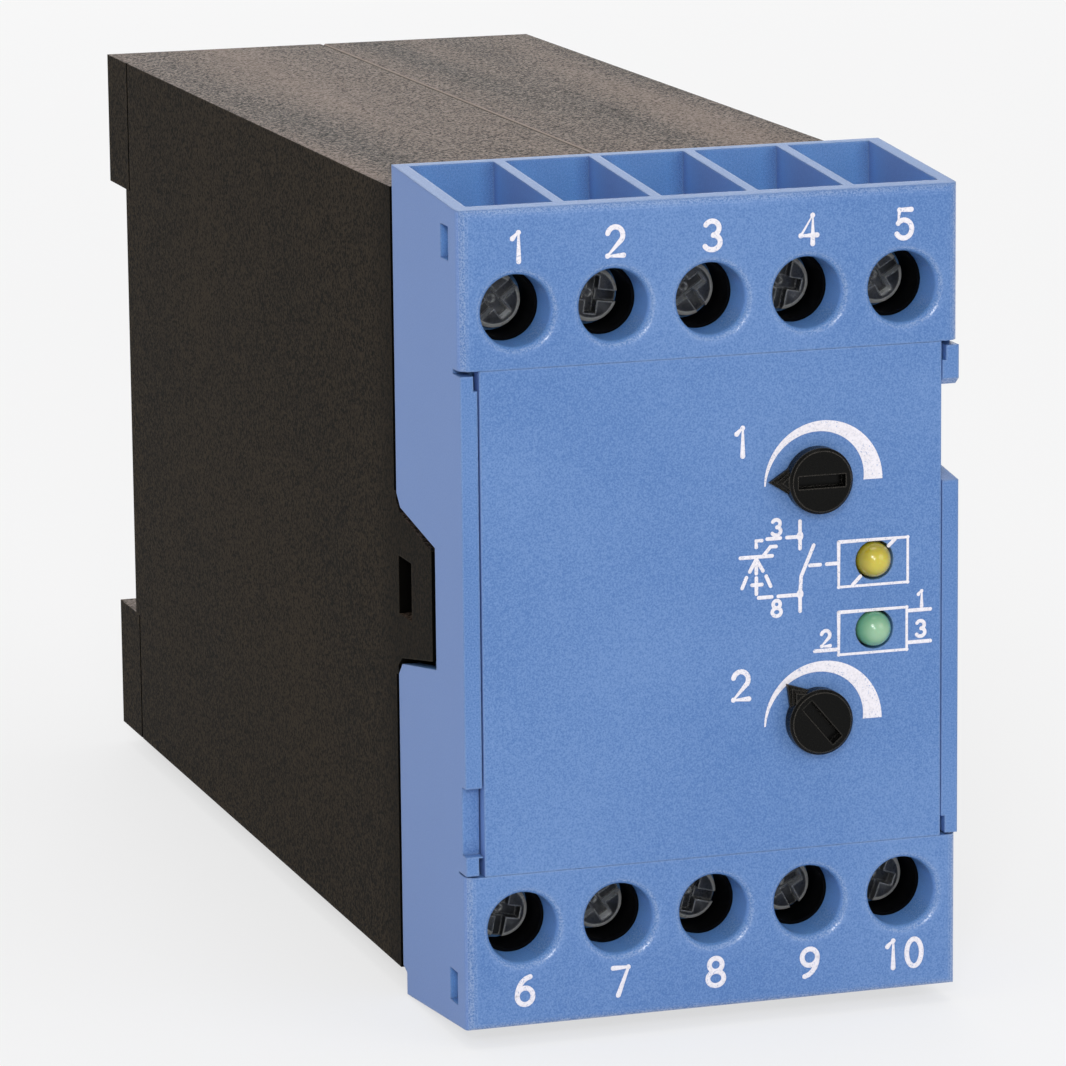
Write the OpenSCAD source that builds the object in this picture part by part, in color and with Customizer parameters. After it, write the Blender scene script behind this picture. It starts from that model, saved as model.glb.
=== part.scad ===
// Soft starter for rail mounting: blue terminal head on a black rear housing.
// Frame: origin at the middle of the rail seat, X to the right seen from the front,
// Y towards the rail, Z up. All sizes in millimetres.

/* [Overall size] */
// width of the device along the rail
body_w = 45; // [44.4:0.1:47]
// depth from the front face to the rear of the feet
body_d = 121; // [119:1:127]
// height of the terminal head at its rear edge
head_h = 74; // [73.4:0.2:77]
// height of the terminal head at its front face
head_front_h = 71.1; // [70.6:0.1:72]
// depth of the terminal head
head_d = 19.4; // [19.4:0.1:20.4]
// height of the rear housing
housing_h = 70; // [69.6:0.2:71.6]
// depth of the two feet behind the rail seat
foot_d = 6.6; // [6.4:0.1:7.2]
// clear height between the two feet
feet_gap = 44; // [43.4:0.2:44.6]

/* [Walls and gaps] */
// wall of the rear housing
housing_wall = 2; // [1.8:0.1:2.1]
// side wall of the head beside the front panel
head_wall = 1.5; // [1.4:0.1:1.5]
// rear wall of the wire pockets
pocket_rear_wall = 1; // [0.8:0.1:1]
// front wall of the wire pockets
pocket_front_wall = 2; // [1.6:0.1:2.4]
// distance of the housing's seam to the right of the middle
seam_x = 0.4; // [0.3:0.1:0.6]
// gap between fixed parts that meet
fit_gap = 0.1; // [0.06:0.02:0.12]
// gap at each side of the front panel
panel_gap = 0.15; // [0.1:0.05:0.25]
// radial clearance of a turning fit
run_gap = 0.05; // [0.02:0.01:0.08]
// rounding of the head's upper and lower front edges
edge_round = 0.8; // [0.6:0.1:1]
// rounding of the head's upright front edges
corner_round = 1.1; // [0.8:0.1:1.1]
// gap above and below the front panel
panel_rest = 0.02; // [0.02:0.01:0.06]
// width of the shadow gap between housing and head
shadow_w = 0.6; // [0.5:0.1:0.8]
// depth of the shadow gap between housing and head
shadow_d = 0.6; // [0.4:0.1:0.8]
// space in front of a housing tongue
tongue_gap = 1.1; // [0.8:0.1:1.2]

/* [Terminals] */
// distance between neighbouring terminals
pole_pitch = 8.7; // [8.6:0.05:8.8]
// height of a screw row above the middle
row_z = 26.8; // [26.7:0.1:27]
// width of a wire pocket
pocket_w = 7.7; // [7.4:0.1:7.7]
// thickness of material over the screw bore under a pocket
pocket_floor = 1.2; // [1:0.1:1.4]
// diameter of the screwdriver bore
bore_d = 6.2; // [6:0.1:6.3]
// rounding of the bore's rim
rim_round = 0.8; // [0.5:0.1:0.8]
// depth of the screw head below the front face
screw_depth = 6.4; // [6.2:0.1:6.5]
// diameter of the screw head
screw_head_d = 4.8; // [4.6:0.1:5.2]
// height of the screw head
screw_head_h = 1.8; // [1.6:0.1:1.9]
// diameter of the screw shank
screw_d = 3.5; // [3.2:0.1:3.6]
// thickness of the web that keeps the screw in
web_t = 0.8; // [0.7:0.1:0.9]
// width of a clamp cage
cage_w = 6.2; // [6:0.1:6.4]
// height of a clamp cage
cage_h = 5.6; // [5.2:0.1:5.8]
// side wall of a clamp cage
cage_side = 1; // [0.8:0.1:1]
// threaded front wall of a clamp cage
cage_front = 1.4; // [1.2:0.1:1.4]
// pressing rear wall of a clamp cage
cage_rear = 1.2; // [1:0.1:1.2]
// travel of a clamp cage from open to shut
cage_travel = 2.4; // [2:0.1:2.4]
// width of a contact bar
bar_w = 3.6; // [3.2:0.1:3.8]
// thickness of a contact bar
bar_t = 1; // [0.8:0.1:1]

/* [Front panel] */
// height of the front panel
panel_h = 43.8; // [43.2:0.1:43.8]
// thickness of the front panel
panel_t = 1.6; // [1.4:0.1:1.8]
// reach of the panel's side hooks behind the front face
hook_reach = 6.2; // [6:0.1:6.4]
// width of a panel hook
hook_w = 4.5; // [4:0.1:4.6]

/* [Dials and lamps] */
// distance of both dials to the right of the middle
dial_x = 9.3; // [8.6:0.05:9.4]
// height of the middle of dials and lamps above the middle of the front
control_z = 0.1; // [0:0.05:0.2]
// distance of each dial above or below that middle
dial_z = 10.6; // [10.3:0.1:11]
// diameter of a dial cap
cap_d = 5.8; // [5.2:0.1:6]
// height of a dial cap in front of the panel
cap_h = 1.6; // [1.4:0.1:2]
// reach of the pointer from the dial axis
pointer_len = 4.45; // [4.2:0.05:4.6]
// diameter of the dial stem
stem_d = 4; // [3.8:0.1:4.1]
// turn of the lower dial from the start of its scale
lower_turn = 50; // [0:5:180]
// distance of both lamps to the right of the middle
lamp_x = 14.7; // [14.3:0.1:15]
// distance of each lamp above or below that middle
lamp_z = 3.05; // [2.8:0.05:3.2]
// diameter of a lamp
lamp_d = 3.1; // [2.8:0.1:3.2]
// reach of a lens in front of the panel
lens_proud = 1.2; // [0.6:0.1:1.4]
// clearance around a lamp in the panel
lamp_gap = 0.2; // [0.1:0.05:0.3]
// number of steps on a dial pointer
pointer_steps = 3; // [1:1:4]

/* [Rail clip] */
// height of the mounting rail
rail_h = 35; // [34.8:0.1:35.2]
// slot for the rail's edge
rail_slot = 1.3; // [1.2:0.05:1.4]
// depth of the relief in the rail seat below the hooks
relief_d = 0.3; // [0.2:0.1:0.5]
// overlap of a hook behind the rail's edge
hook_over = 1.2; // [1:0.1:1.3]
// width of the sliding latch
latch_w = 14; // [13:0.5:15]
// travel of the sliding latch
latch_travel = 2.5; // [2.3:0.1:2.5]

/* [Boards and parts inside] */
// thickness of the circuit boards
board_t = 1.6; // [1.5:0.1:1.6]
// length of a bypass relay
relay_l = 29; // [28:0.5:30]
// width of a bypass relay
relay_w = 12.7; // [12:0.1:13]
// height of a bypass relay above its board
relay_h = 15.7; // [15:0.1:16]
// thickness of the heat sink's base
sink_base = 3; // [2.8:0.1:3.2]
// reach of the heat sink's fins
fin_len = 9.5; // [8:0.5:10]
// number of fins
fin_count = 12; // [8:1:14]
// thickness of a fin
fin_t = 1.4; // [1.2:0.1:1.8]
// length of the box capacitor
capacitor_l = 26; // [24:0.5:27]
// width of the box capacitor
capacitor_w = 11; // [10:0.5:12]
// height of the box capacitor above its board
capacitor_h = 12; // [10:0.5:14]
// length of the supply transformer
coil_l = 27; // [25:0.5:28]
// width of the supply transformer
coil_w = 11; // [10:0.5:12]
// height of the supply transformer above its board
coil_h = 14; // [12:0.5:15]
// distance of the capacitor, transformer and varistors from the middle
outer_z = 24; // [23.6:0.1:24.4]
// diameter of a disc varistor
varistor_d = 10; // [9:0.5:11]
// thickness of a disc varistor
varistor_t = 4; // [3:0.5:5]
// length of the controller chip
chip_l = 12; // [10:0.5:13]
// width of the controller chip
chip_w = 8; // [7:0.5:9]
// diameter of the thyristor screws
fix_d = 3; // [2.8:0.1:3]

/* [Choice] */
// sub-part to draw

/* [Hidden] */
$fn = 48;
eps = 0.02;
front_y = foot_d - body_d;
head_rear_y = front_y + head_d;
hw = body_w / 2;
hz = housing_h / 2;
shell_y = head_rear_y + fit_gap;
rail_wall = 2.2;
foot_z = feet_gap / 2;
panel_y = front_y + panel_t;
block_z = panel_h / 2 + panel_rest;
strip_x = hw - head_wall;
panel_w = 2 * (strip_x - panel_gap);
hook_z = 4;
hook_t = 0.7;
upper_slit = 0.4;
lower_slit = 0.15;
pocket_z = row_z + bore_d / 2 + pocket_floor;
pocket_y0 = front_y + pocket_front_wall;
pocket_y1 = head_rear_y - pocket_rear_wall;
head_y0 = front_y + screw_depth;
seat_y = head_y0 + screw_head_h;
web_y0 = seat_y + fit_gap;
chamber_y0 = web_y0 + web_t;
chamber_w = cage_w + 0.4;
chamber_z = row_z - cage_h / 2 - 0.2;
cage_shut_y = chamber_y0 + 0.1;
cage_open_y = cage_shut_y + cage_travel;
bar_y0 = cage_open_y + cage_front + 0.2;
bar_y1 = bar_y0 + bar_t;
cage_end_y = pocket_y1 - 0.2;
board_y0 = head_rear_y + 1.4;
board_y1 = board_y0 + board_t;
bar_leg_z = block_z - 1.4;
tongue_t = 1.4;
tongue_y0 = front_y + 9.15;
notch_y0 = tongue_y0 - tongue_gap;
plate_x0 = hw - tongue_t - 0.4;
plate_t = 1.2;
catch_y0 = tongue_y0 + 1.6;
cavity_x = hw - housing_wall;
cavity_z = hz - housing_wall;
pot_w = 9.6;
pot_d = 5;
bushing_d = 7;
bushing_l = 3;
pot_y0 = board_y0 - pot_d;
bushing_y0 = pot_y0 - bushing_l;
stem_y1 = bushing_y0 + 4.9;
cap_y0 = front_y - cap_h;
cap_y1 = front_y - 0.25;
pboard_x0 = -15.6;
pboard_x1 = pboard_x0 + board_t;
pboard_y0 = board_y1 + 2;
pboard_y1 = -8;
pboard_z = cavity_z - 0.4;
sink_x0 = 6;
sink_x1 = sink_x0 + sink_base;
sink_y0 = board_y1 + 6;
sink_y1 = -10;
relay_y0 = pboard_y0 + 5;
thyr_y0 = relay_y0 + relay_l + 9;
thyr_l = 20.9;
thyr_w = 15.9;
thyr_t = 5;
thyr_z = 10;
fix_inset = 6;
fix_y = thyr_y0 + thyr_l - fix_inset;
fix_slot = 4;
fin_edge = 2;
fin_inset = 4;
chip_x = -6;
header_w = 2.6;
header_d = 5;
header_half = 9.2;
pin_pitch = 2.54;
lead_out = 1;
capacitor_step = 6;
cut_z0 = 9.65;
cut_z1 = 18;
cut_d = 6;
cut_rise = 0.85;
tab_bevel = 0.6;
latch_y0 = 1.05;
latch_y1 = foot_d - 1.25;
tunnel_gap = 0.15;
nose_z = rail_h / 2 - hook_over;
relief_z = nose_z - 0.3;
hook_half = 14;
seam_cut = 0.2;
latch_end_z = head_h / 2;
window_w = 4.4;
window_z0 = foot_z + 3;
window_z1 = window_z0 + 7;
peg_z0 = window_z1 - 1.3;
peg_z1 = window_z1 - 0.1;
blue = [0.36, 0.53, 0.78];
black = [0.16, 0.15, 0.14];
steel = [0.75, 0.76, 0.78];
tin = [0.8, 0.78, 0.72];
green_board = [0.1, 0.36, 0.2];

// Box between two corners.
module box(x0, x1, y0, y1, z0, z1) {
  translate([x0, y0, z0]) cube([x1 - x0, y1 - y0, z1 - z0]);
}

// Round rod along Y.
module rod_y(d, x, z, y0, y1) {
  translate([x, y0, z]) rotate([-90, 0, 0]) cylinder(d = d, h = y1 - y0);
}

// Round rod along X.
module rod_x(d, y, z, x0, x1) {
  translate([x0, y, z]) rotate([0, 90, 0]) cylinder(d = d, h = x1 - x0);
}

// Profile drawn in Y and Z, pulled along X.
module pull_x(x0, x1) {
  translate([x0, 0, 0]) rotate([90, 0, 90]) linear_extrude(height = x1 - x0) children();
}

// Profile drawn in X and Z, pulled along Y.
module pull_y(y0, y1) {
  translate([0, y1, 0]) rotate([90, 0, 0]) linear_extrude(height = y1 - y0) children();
}

// Copies for the upper and the lower row.
module both_rows() {
  children();
  mirror([0, 0, 1]) children();
}

// Copies for the left and the right side.
module both_sides() {
  children();
  mirror([1, 0, 0]) children();
}

// Copies at the five terminals of a row.
module five_poles() {
  for (i = [-2 : 2]) translate([i * pole_pitch, 0, 0]) children();
}

// Side view of the head, tapered to the front.
module head_side_view() {
  zr = head_h / 2;
  zf = head_front_h / 2;
  r = edge_round;
  polygon(concat(
    [[head_rear_y, zr]],
    [for (a = [90 : 15 : 180]) [front_y + r + r * cos(a), zf - r + r * sin(a)]],
    [for (a = [180 : 15 : 270]) [front_y + r + r * cos(a), r - zf + r * sin(a)]],
    [[head_rear_y - 1.1, -zr], [head_rear_y - 1.1, 2 - zr], [head_rear_y, 2.4 - zr]]
  ));
}

// Plan of the head with its two front edges rounded.
module head_plan() {
  r = corner_round;
  polygon(concat(
    [[hw, head_rear_y]],
    [[-hw, head_rear_y]],
    [for (a = [180 : 15 : 270]) [r - hw + r * cos(a), front_y + r + r * sin(a)]],
    [for (a = [270 : 15 : 360]) [hw - r + r * cos(a), front_y + r + r * sin(a)]]
  ));
}

// Solid terminal blocks above and below the panel, and the side walls between them.
module head_solid() {
  intersection() {
    pull_x(-hw, hw) head_side_view();
    both_rows() translate([0, 0, block_z]) linear_extrude(height = head_h) head_plan();
  }
  both_sides() box(strip_x, hw, front_y + 0.1, head_rear_y, -block_z - eps, block_z + eps);
}

// Wire pocket, clamp chamber, screw bore and bar slot of one terminal.
module terminal_cut() {
  box(-pocket_w / 2, pocket_w / 2, pocket_y0, pocket_y1, pocket_z, head_h);
  box(-chamber_w / 2, chamber_w / 2, chamber_y0, pocket_y1, chamber_z, pocket_z + 1);
  rod_y(bore_d, 0, row_z, front_y - 1, web_y0);
  rod_y(screw_d + 2 * run_gap, 0, row_z, front_y, chamber_y0 + 1);
  translate([0, front_y, row_z]) rotate([-90, 0, 0]) rotate_extrude() difference() {
    translate([0, -1]) square([bore_d / 2 + rim_round, 1 + rim_round]);
    translate([bore_d / 2 + rim_round, rim_round]) circle(r = rim_round);
  }
  box(-bar_w / 2 - 0.2, bar_w / 2 + 0.2, bar_y0 - 0.15, bar_y1 + 0.15, block_z - 1, chamber_z + 1);
}

// Opening in the head's side wall for the housing's tongue.
module tongue_notch() {
  pull_x(strip_x - 1, hw + 1) polygon([
    [notch_y0, -5.35], [notch_y0, 5.35], [head_rear_y - 1.1, 7], [head_rear_y + 0.2, 8.3],
    [head_rear_y + 0.2, -8.3], [head_rear_y - 1.1, -7]
  ]);
}

// Wall behind the tongue, with the slot that its nose snaps into.
module catch_plate() {
  difference() {
    union() {
      box(plate_x0 - plate_t, plate_x0, notch_y0 - 1.2, catch_y0 + 3.4, -8, 8);
      box(plate_x0 - plate_t, strip_x + 0.2, notch_y0 - 1.2, notch_y0, -8, 8);
    }
    box(plate_x0 - plate_t - 1, plate_x0 + 1, catch_y0 - 0.2, catch_y0 + 1.8, -3, 3);
  }
}

// Edges that the front panel rests on.
module panel_ledges() {
  y = panel_y + fit_gap;
  both_sides() both_rows() box(strip_x - 1, strip_x + 0.2, y, y + 1.3, block_z - 6, block_z + 0.2);
}

// Slot for prying out the panel, drawn at the upper right.
module pry_slot(inner) {
  box(strip_x - inner, strip_x + 0.35, front_y - 1, front_y + 2.4, block_z - 1.7, block_z);
}

// Slots for prying out the panel, for its hooks, and the small side slots of the head.
module side_slots() {
  both_sides() both_rows() {
    pry_slot(0.3);
    box(hw - 0.7, hw + 1, front_y + 3, front_y + 5.2, 31, 33.9);
    box(
      strip_x - 1, strip_x + 0.8, front_y + hook_reach - 1.8, front_y + hook_reach + 0.3,
      hook_z - 0.4, hook_z + hook_w + 0.4
    );
  }
  both_sides() {
    box(strip_x - 0.3, hw + 1, front_y - 1, front_y + 2.2, block_z - upper_slit, block_z + eps);
    box(strip_x - 0.3, hw + 1, front_y - 1, front_y + 2.2, -block_z - eps, lower_slit - block_z);
  }
}

// Notch in the right side wall and shallow recess in the left one, at the front.
module front_notches() {
  pull_x(strip_x - 0.5, hw + 1) polygon([
    [front_y - 1, cut_z0], [front_y - 1, cut_z1 + tab_bevel], [front_y + 0.1, cut_z1 + tab_bevel],
    [front_y + 0.9, cut_z1], [front_y + cut_d, cut_z1], [front_y + cut_d, cut_z0 + cut_rise],
    [front_y, cut_z0]
  ]);
  box(-hw - 1, -strip_x + 0.3, front_y - 1, front_y + 1.1, -20.1, -14.1);
}

module terminal_head() {
  color(blue) difference() {
    union() {
      difference() {
        head_solid();
        both_rows() five_poles() terminal_cut();
        both_sides() tongue_notch();
        side_slots();
        front_notches();
      }
      both_sides() catch_plate();
      panel_ledges();
    }
    both_sides() both_rows() pry_slot(2);
  }
}

// Two hooks on one side of the panel.
module panel_hooks() {
  x = strip_x - 0.2;
  y = front_y + hook_reach;
  both_rows() {
    box(x - hook_t, x, panel_y - 0.4, y, hook_z, hook_z + hook_w);
    box(x - 0.3, x + 0.7, y - 1.5, y, hook_z, hook_z + hook_w);
  }
}

module front_panel() {
  color(blue) difference() {
    union() {
      box(-panel_w / 2, panel_w / 2, front_y, panel_y, -panel_h / 2, panel_h / 2);
      both_sides() panel_hooks();
    }
    for (s = [-1, 1]) {
      rod_y(stem_d + 0.8, dial_x, control_z + s * dial_z, front_y - 1, panel_y + 1);
      rod_y(lamp_d + 2 * lamp_gap, lamp_x, control_z + s * lamp_z, front_y - 1, panel_y + 1);
    }
  }
}

// Dial with slotted cap, pointer and stem. Its pointer shows left at turn zero.
module dial(turn) {
  rotate([0, turn, 0]) difference() {
    union() {
      rod_y(cap_d, 0, 0, cap_y0 + 0.25, cap_y1);
      translate([0, cap_y0, 0]) rotate([-90, 0, 0]) cylinder(d1 = cap_d - 0.5, d2 = cap_d, h = 0.25);
      for (i = [0 : pointer_steps - 1]) {
        reach = pointer_len - 0.45 * i;
        half = 1.55 - 0.12 * i;
        pull_y(cap_y1 - 0.35 * (i + 1), cap_y1) polygon([[-reach, 0], [-2, half], [-2, -half]]);
      }
      rod_y(stem_d, 0, 0, cap_y1 - 0.2, stem_y1);
    }
    box(-2.15, 2.15, cap_y0 - 1, cap_y0 + 0.9, -0.55, 0.55);
  }
}

module knob_upper() {
  color(black) translate([dial_x, 0, control_z + dial_z]) dial(0);
}

module knob_lower() {
  color(black) translate([dial_x, 0, control_z - dial_z]) dial(lower_turn);
}

// Potentiometer with a blind bore for the dial stem and three pins.
module pot() {
  difference() {
    union() {
      box(-pot_w / 2, pot_w / 2, pot_y0, board_y0 - fit_gap, -pot_w / 2, pot_w / 2);
      rod_y(bushing_d, 0, 0, bushing_y0, pot_y0 + 0.5);
      for (i = [-1 : 1]) rod_y(0.8, i * 2.5, 0, board_y0 - 0.5, board_y1 + 1);
    }
    rod_y(stem_d + 2 * run_gap, 0, 0, bushing_y0 - 1, stem_y1 + 0.1);
  }
}

module pot_upper() {
  color([0.2, 0.3, 0.55]) translate([dial_x, 0, control_z + dial_z]) pot();
}

module pot_lower() {
  color([0.2, 0.3, 0.55]) translate([dial_x, 0, control_z - dial_z]) pot();
}

// Lamp with domed lens, collar and two leads.
module lamp() {
  r = lamp_d / 2;
  lens_y = front_y + r - lens_proud;
  translate([0, lens_y, 0]) rotate([90, 0, 0]) rotate_extrude() intersection() {
    circle(r = r);
    square([r, r]);
  }
  rod_y(lamp_d, 0, 0, lens_y - eps, lens_y + 3);
  rod_y(lamp_d + 0.8, 0, 0, lens_y + 3, lens_y + 4);
  for (s = [-1, 1]) box(s * 1.27 - 0.25, s * 1.27 + 0.25, lens_y + 3.5, board_y1 + 1, -0.25, 0.25);
}

module lamp_yellow() {
  color([0.85, 0.75, 0.15]) translate([lamp_x, 0, control_z + lamp_z]) lamp();
}

module lamp_green() {
  color([0.5, 0.8, 0.55]) translate([lamp_x, 0, control_z - lamp_z]) lamp();
}

// Captive clamp screw with a combined cross and slot.
module clamp_screw(pole, row) {
  translate([pole * pole_pitch, 0, row * row_z]) rotate([0, 35 + 47 * pole + 20 * row, 0]) difference() {
    union() {
      rod_y(screw_head_d, 0, 0, head_y0, seat_y);
      rod_y(screw_d, 0, 0, seat_y - eps, bar_y0 - 0.05);
    }
    box(-screw_head_d, screw_head_d, head_y0 - 1, head_y0 + 0.9, -0.45, 0.45);
    box(-0.5, 0.5, head_y0 - 1, head_y0 + 1.1, -1.6, 1.6);
  }
}

// Clamp cage around the contact bar, in its open place.
module clamp_cage(pole, row) {
  translate([pole * pole_pitch, 0, row * row_z]) difference() {
    box(-cage_w / 2, cage_w / 2, cage_open_y, cage_end_y, -cage_h / 2, cage_h / 2);
    box(
      cage_side - cage_w / 2, cage_w / 2 - cage_side,
      cage_open_y + cage_front, cage_end_y - cage_rear, -cage_h, cage_h
    );
    rod_y(screw_d + 2 * run_gap, 0, 0, cage_open_y - 1, cage_open_y + cage_front + 0.5);
  }
}

module screw_u1() { color(steel) clamp_screw(-2, 1); }
module screw_u2() { color(steel) clamp_screw(-1, 1); }
module screw_u3() { color(steel) clamp_screw(0, 1); }
module screw_u4() { color(steel) clamp_screw(1, 1); }
module screw_u5() { color(steel) clamp_screw(2, 1); }
module screw_l1() { color(steel) clamp_screw(-2, -1); }
module screw_l2() { color(steel) clamp_screw(-1, -1); }
module screw_l3() { color(steel) clamp_screw(0, -1); }
module screw_l4() { color(steel) clamp_screw(1, -1); }
module screw_l5() { color(steel) clamp_screw(2, -1); }
module cage_u1() { color(steel) clamp_cage(-2, 1); }
module cage_u2() { color(steel) clamp_cage(-1, 1); }
module cage_u3() { color(steel) clamp_cage(0, 1); }
module cage_u4() { color(steel) clamp_cage(1, 1); }
module cage_u5() { color(steel) clamp_cage(2, 1); }
module cage_l1() { color(steel) clamp_cage(-2, -1); }
module cage_l2() { color(steel) clamp_cage(-1, -1); }
module cage_l3() { color(steel) clamp_cage(0, -1); }
module cage_l4() { color(steel) clamp_cage(1, -1); }
module cage_l5() { color(steel) clamp_cage(2, -1); }

// Bent contact bar from a clamp to the front board.
module contact_bar() {
  pull_x(-bar_w / 2, bar_w / 2) polygon([
    [bar_y0, bar_leg_z], [bar_y0, row_z + cage_h / 2 - 0.4], [bar_y1, row_z + cage_h / 2 - 0.4],
    [bar_y1, bar_leg_z + 1], [board_y0 - 1, bar_leg_z + 1], [board_y0 - 1, bar_leg_z]
  ]);
  box(-0.6, 0.6, board_y0 - 1.2, board_y1 + 1.2, bar_leg_z, bar_leg_z + 1);
}

module bars_upper() {
  color(tin) five_poles() contact_bar();
}

module bars_lower() {
  color(tin) mirror([0, 0, 1]) five_poles() contact_bar();
}

// Board across the device behind the head, with holes for all that is soldered in it.
module front_board() {
  color(green_board) difference() {
    box(-cavity_x + 0.7, cavity_x - 0.7, board_y0, board_y1, -cavity_z + 1, cavity_z - 1);
    both_rows() five_poles() rod_y(1.9, 0, bar_leg_z + 0.5, board_y0 - 1, board_y1 + 1);
    for (s = [-1, 1]) {
      for (i = [-1 : 1]) {
        rod_y(1.1, dial_x + i * 2.5, control_z + s * dial_z, board_y0 - 1, board_y1 + 1);
      }
      for (i = [-1, 1]) {
        rod_y(1, lamp_x + i * 1.27, control_z + s * lamp_z, board_y0 - 1, board_y1 + 1);
      }
    }
    for (i = [-3 : 3]) rod_y(1.2, pboard_x1 + 1.3, i * pin_pitch, board_y0 - 1, board_y1 + 1);
  }
}

// Controller chip with its two rows of legs.
module control_chip() {
  color(black) {
    x = chip_x;
    w = chip_w / 2;
    box(x - w, x + w, board_y0 - 1.8, board_y0 - 0.3, -chip_l / 2, chip_l / 2);
    for (i = [-3 : 3]) {
      z = i * chip_l / 8;
      box(x - w - 1, x + w + 1, board_y0 - 0.9, board_y0 - fit_gap, z - 0.2, z + 0.2);
    }
  }
}

// Angled pin strip that joins the front board to the power board.
module board_header() {
  color([0.12, 0.12, 0.13]) {
    box(
      pboard_x1 + fit_gap, pboard_x1 + header_w, board_y1 + fit_gap, board_y1 + header_d,
      -header_half, header_half
    );
    for (i = [-3 : 3]) {
      z = i * pin_pitch;
      box(pboard_x1 + 1, pboard_x1 + 1.6, board_y0 - lead_out, board_y1 + lead_out, z - 0.3, z + 0.3);
      box(pboard_x0 - lead_out, pboard_x1 + 1, board_y1 + 3.5, board_y1 + 4.1, z - 0.3, z + 0.3);
    }
  }
}

// Pins of one relay on the power board.
module relay_pins(z, d) {
  for (y = [3, 11, 26]) for (s = [-1, 1]) {
    rod_x(d, relay_y0 + y, z + s * 3.75, pboard_x0 - 1, pboard_x1 + 1);
  }
}

// Legs of one thyristor, bent to the power board.
module thyristor_legs(z, w) {
  for (i = [-1 : 1]) {
    box(sink_x0 - 3, sink_x0 - 2.4, thyr_y0 - 5, thyr_y0 + 0.5, z + i * 5.45 - w / 2, z + i * 5.45 + w / 2);
    box(pboard_x0 - 1, sink_x0 - 2.4, thyr_y0 - 5.6, thyr_y0 - 5, z + i * 5.45 - w / 2, z + i * 5.45 + w / 2);
  }
}

// Power board beside the left wall.
module power_board() {
  color(green_board) difference() {
    box(pboard_x0, pboard_x1, pboard_y0, pboard_y1, -pboard_z, pboard_z);
    for (s = [-1, 1]) {
      relay_pins(s * 9, 1.1);
      for (i = [-1 : 1]) rod_x(1.6, thyr_y0 - 5.3, s * thyr_z + i * 5.45, pboard_x0 - 2, pboard_x1 + 2);
      rod_x(1.1, thyr_y0 + 20, s * 5 - outer_z, pboard_x0 - 2, pboard_x1 + 2);
      rod_x(1.1, thyr_y0 + 2, s * 4 + outer_z, pboard_x0 - 2, pboard_x1 + 2);
      rod_x(1.1, thyr_y0 + 22, s * 4 + outer_z, pboard_x0 - 2, pboard_x1 + 2);
      rod_x(1.1, relay_y0 + 6, s * outer_z + 3, pboard_x0 - 2, pboard_x1 + 2);
      rod_x(1.1, relay_y0 + 6, s * outer_z - 3, pboard_x0 - 2, pboard_x1 + 2);
    }
    for (i = [-3 : 3]) rod_x(1.2, board_y1 + 3.8, i * pin_pitch, pboard_x0 - 2, pboard_x1 + 2);
  }
}

// Bypass relay: sealed case on a base with pins.
module relay(z) {
  w = relay_w / 2;
  y1 = relay_y0 + relay_l;
  box(pboard_x1 + 0.6, pboard_x1 + relay_h, relay_y0 + 0.3, y1 - 0.3, z - w + 0.3, z + w - 0.3);
  box(pboard_x1 + fit_gap, pboard_x1 + 2.2, relay_y0, y1, z - w, z + w);
  relay_pins(z, 0.8);
}

module relay_a() {
  color([0.85, 0.85, 0.8]) relay(9);
}

module relay_b() {
  color([0.85, 0.85, 0.8]) relay(-9);
}

// Thyristor package that lies on the heat sink.
module thyristor(z) {
  difference() {
    box(sink_x0 - thyr_t, sink_x0 - fit_gap, thyr_y0, thyr_y0 + thyr_l, z - thyr_w / 2, z + thyr_w / 2);
    rod_x(fix_d + 0.6, fix_y, z, sink_x0 - thyr_t - 1, sink_x0 + 1);
  }
  thyristor_legs(z, 1);
}

module thyristor_a() {
  color(black) thyristor(thyr_z);
}

module thyristor_b() {
  color(black) thyristor(-thyr_z);
}

// Two screws that press the thyristors on the heat sink.
module sink_screws() {
  x = sink_x0 - thyr_t;
  color(steel) for (s = [-1, 1]) difference() {
    union() {
      rod_x(fix_d, fix_y, s * thyr_z, x - 1, sink_x1 - fit_gap);
      rod_x(2 * fix_d - 0.5, fix_y, s * thyr_z, x - 2, x - fit_gap);
    }
    box(x - 3, x - 1.2, fix_y - fix_slot, fix_y + fix_slot, s * thyr_z - 0.4, s * thyr_z + 0.4);
  }
}

// Finned plate that takes the heat of the thyristors.
module heat_sink() {
  color([0.78, 0.79, 0.8]) difference() {
    union() {
      box(sink_x0, sink_x1, sink_y0, sink_y1, -pboard_z, pboard_z);
      for (i = [0 : fin_count - 1]) {
        y = sink_y0 + fin_edge + i * (sink_y1 - sink_y0 - 2 * fin_edge - fin_t) / (fin_count - 1);
        box(sink_x1 - eps, sink_x1 + fin_len, y, y + fin_t, fin_inset - cavity_z, cavity_z - fin_inset);
      }
    }
    for (s = [-1, 1]) rod_x(fix_d + 0.1, fix_y, s * thyr_z, sink_x0 - 1, sink_x1 + 1);
  }
}

// Box capacitor on two wires.
module line_capacitor() {
  color([0.75, 0.6, 0.2]) {
    y = thyr_y0 + capacitor_step;
    z = -outer_z - 0.5;
    box(
      pboard_x1 + fit_gap, pboard_x1 + capacitor_h, y, y + capacitor_l,
      z - capacitor_w / 2, z + capacitor_w / 2
    );
    for (s = [-1, 1]) rod_x(0.8, thyr_y0 + 20, s * 5 - outer_z, pboard_x0 - 1, pboard_x1 + 1);
  }
}

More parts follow.
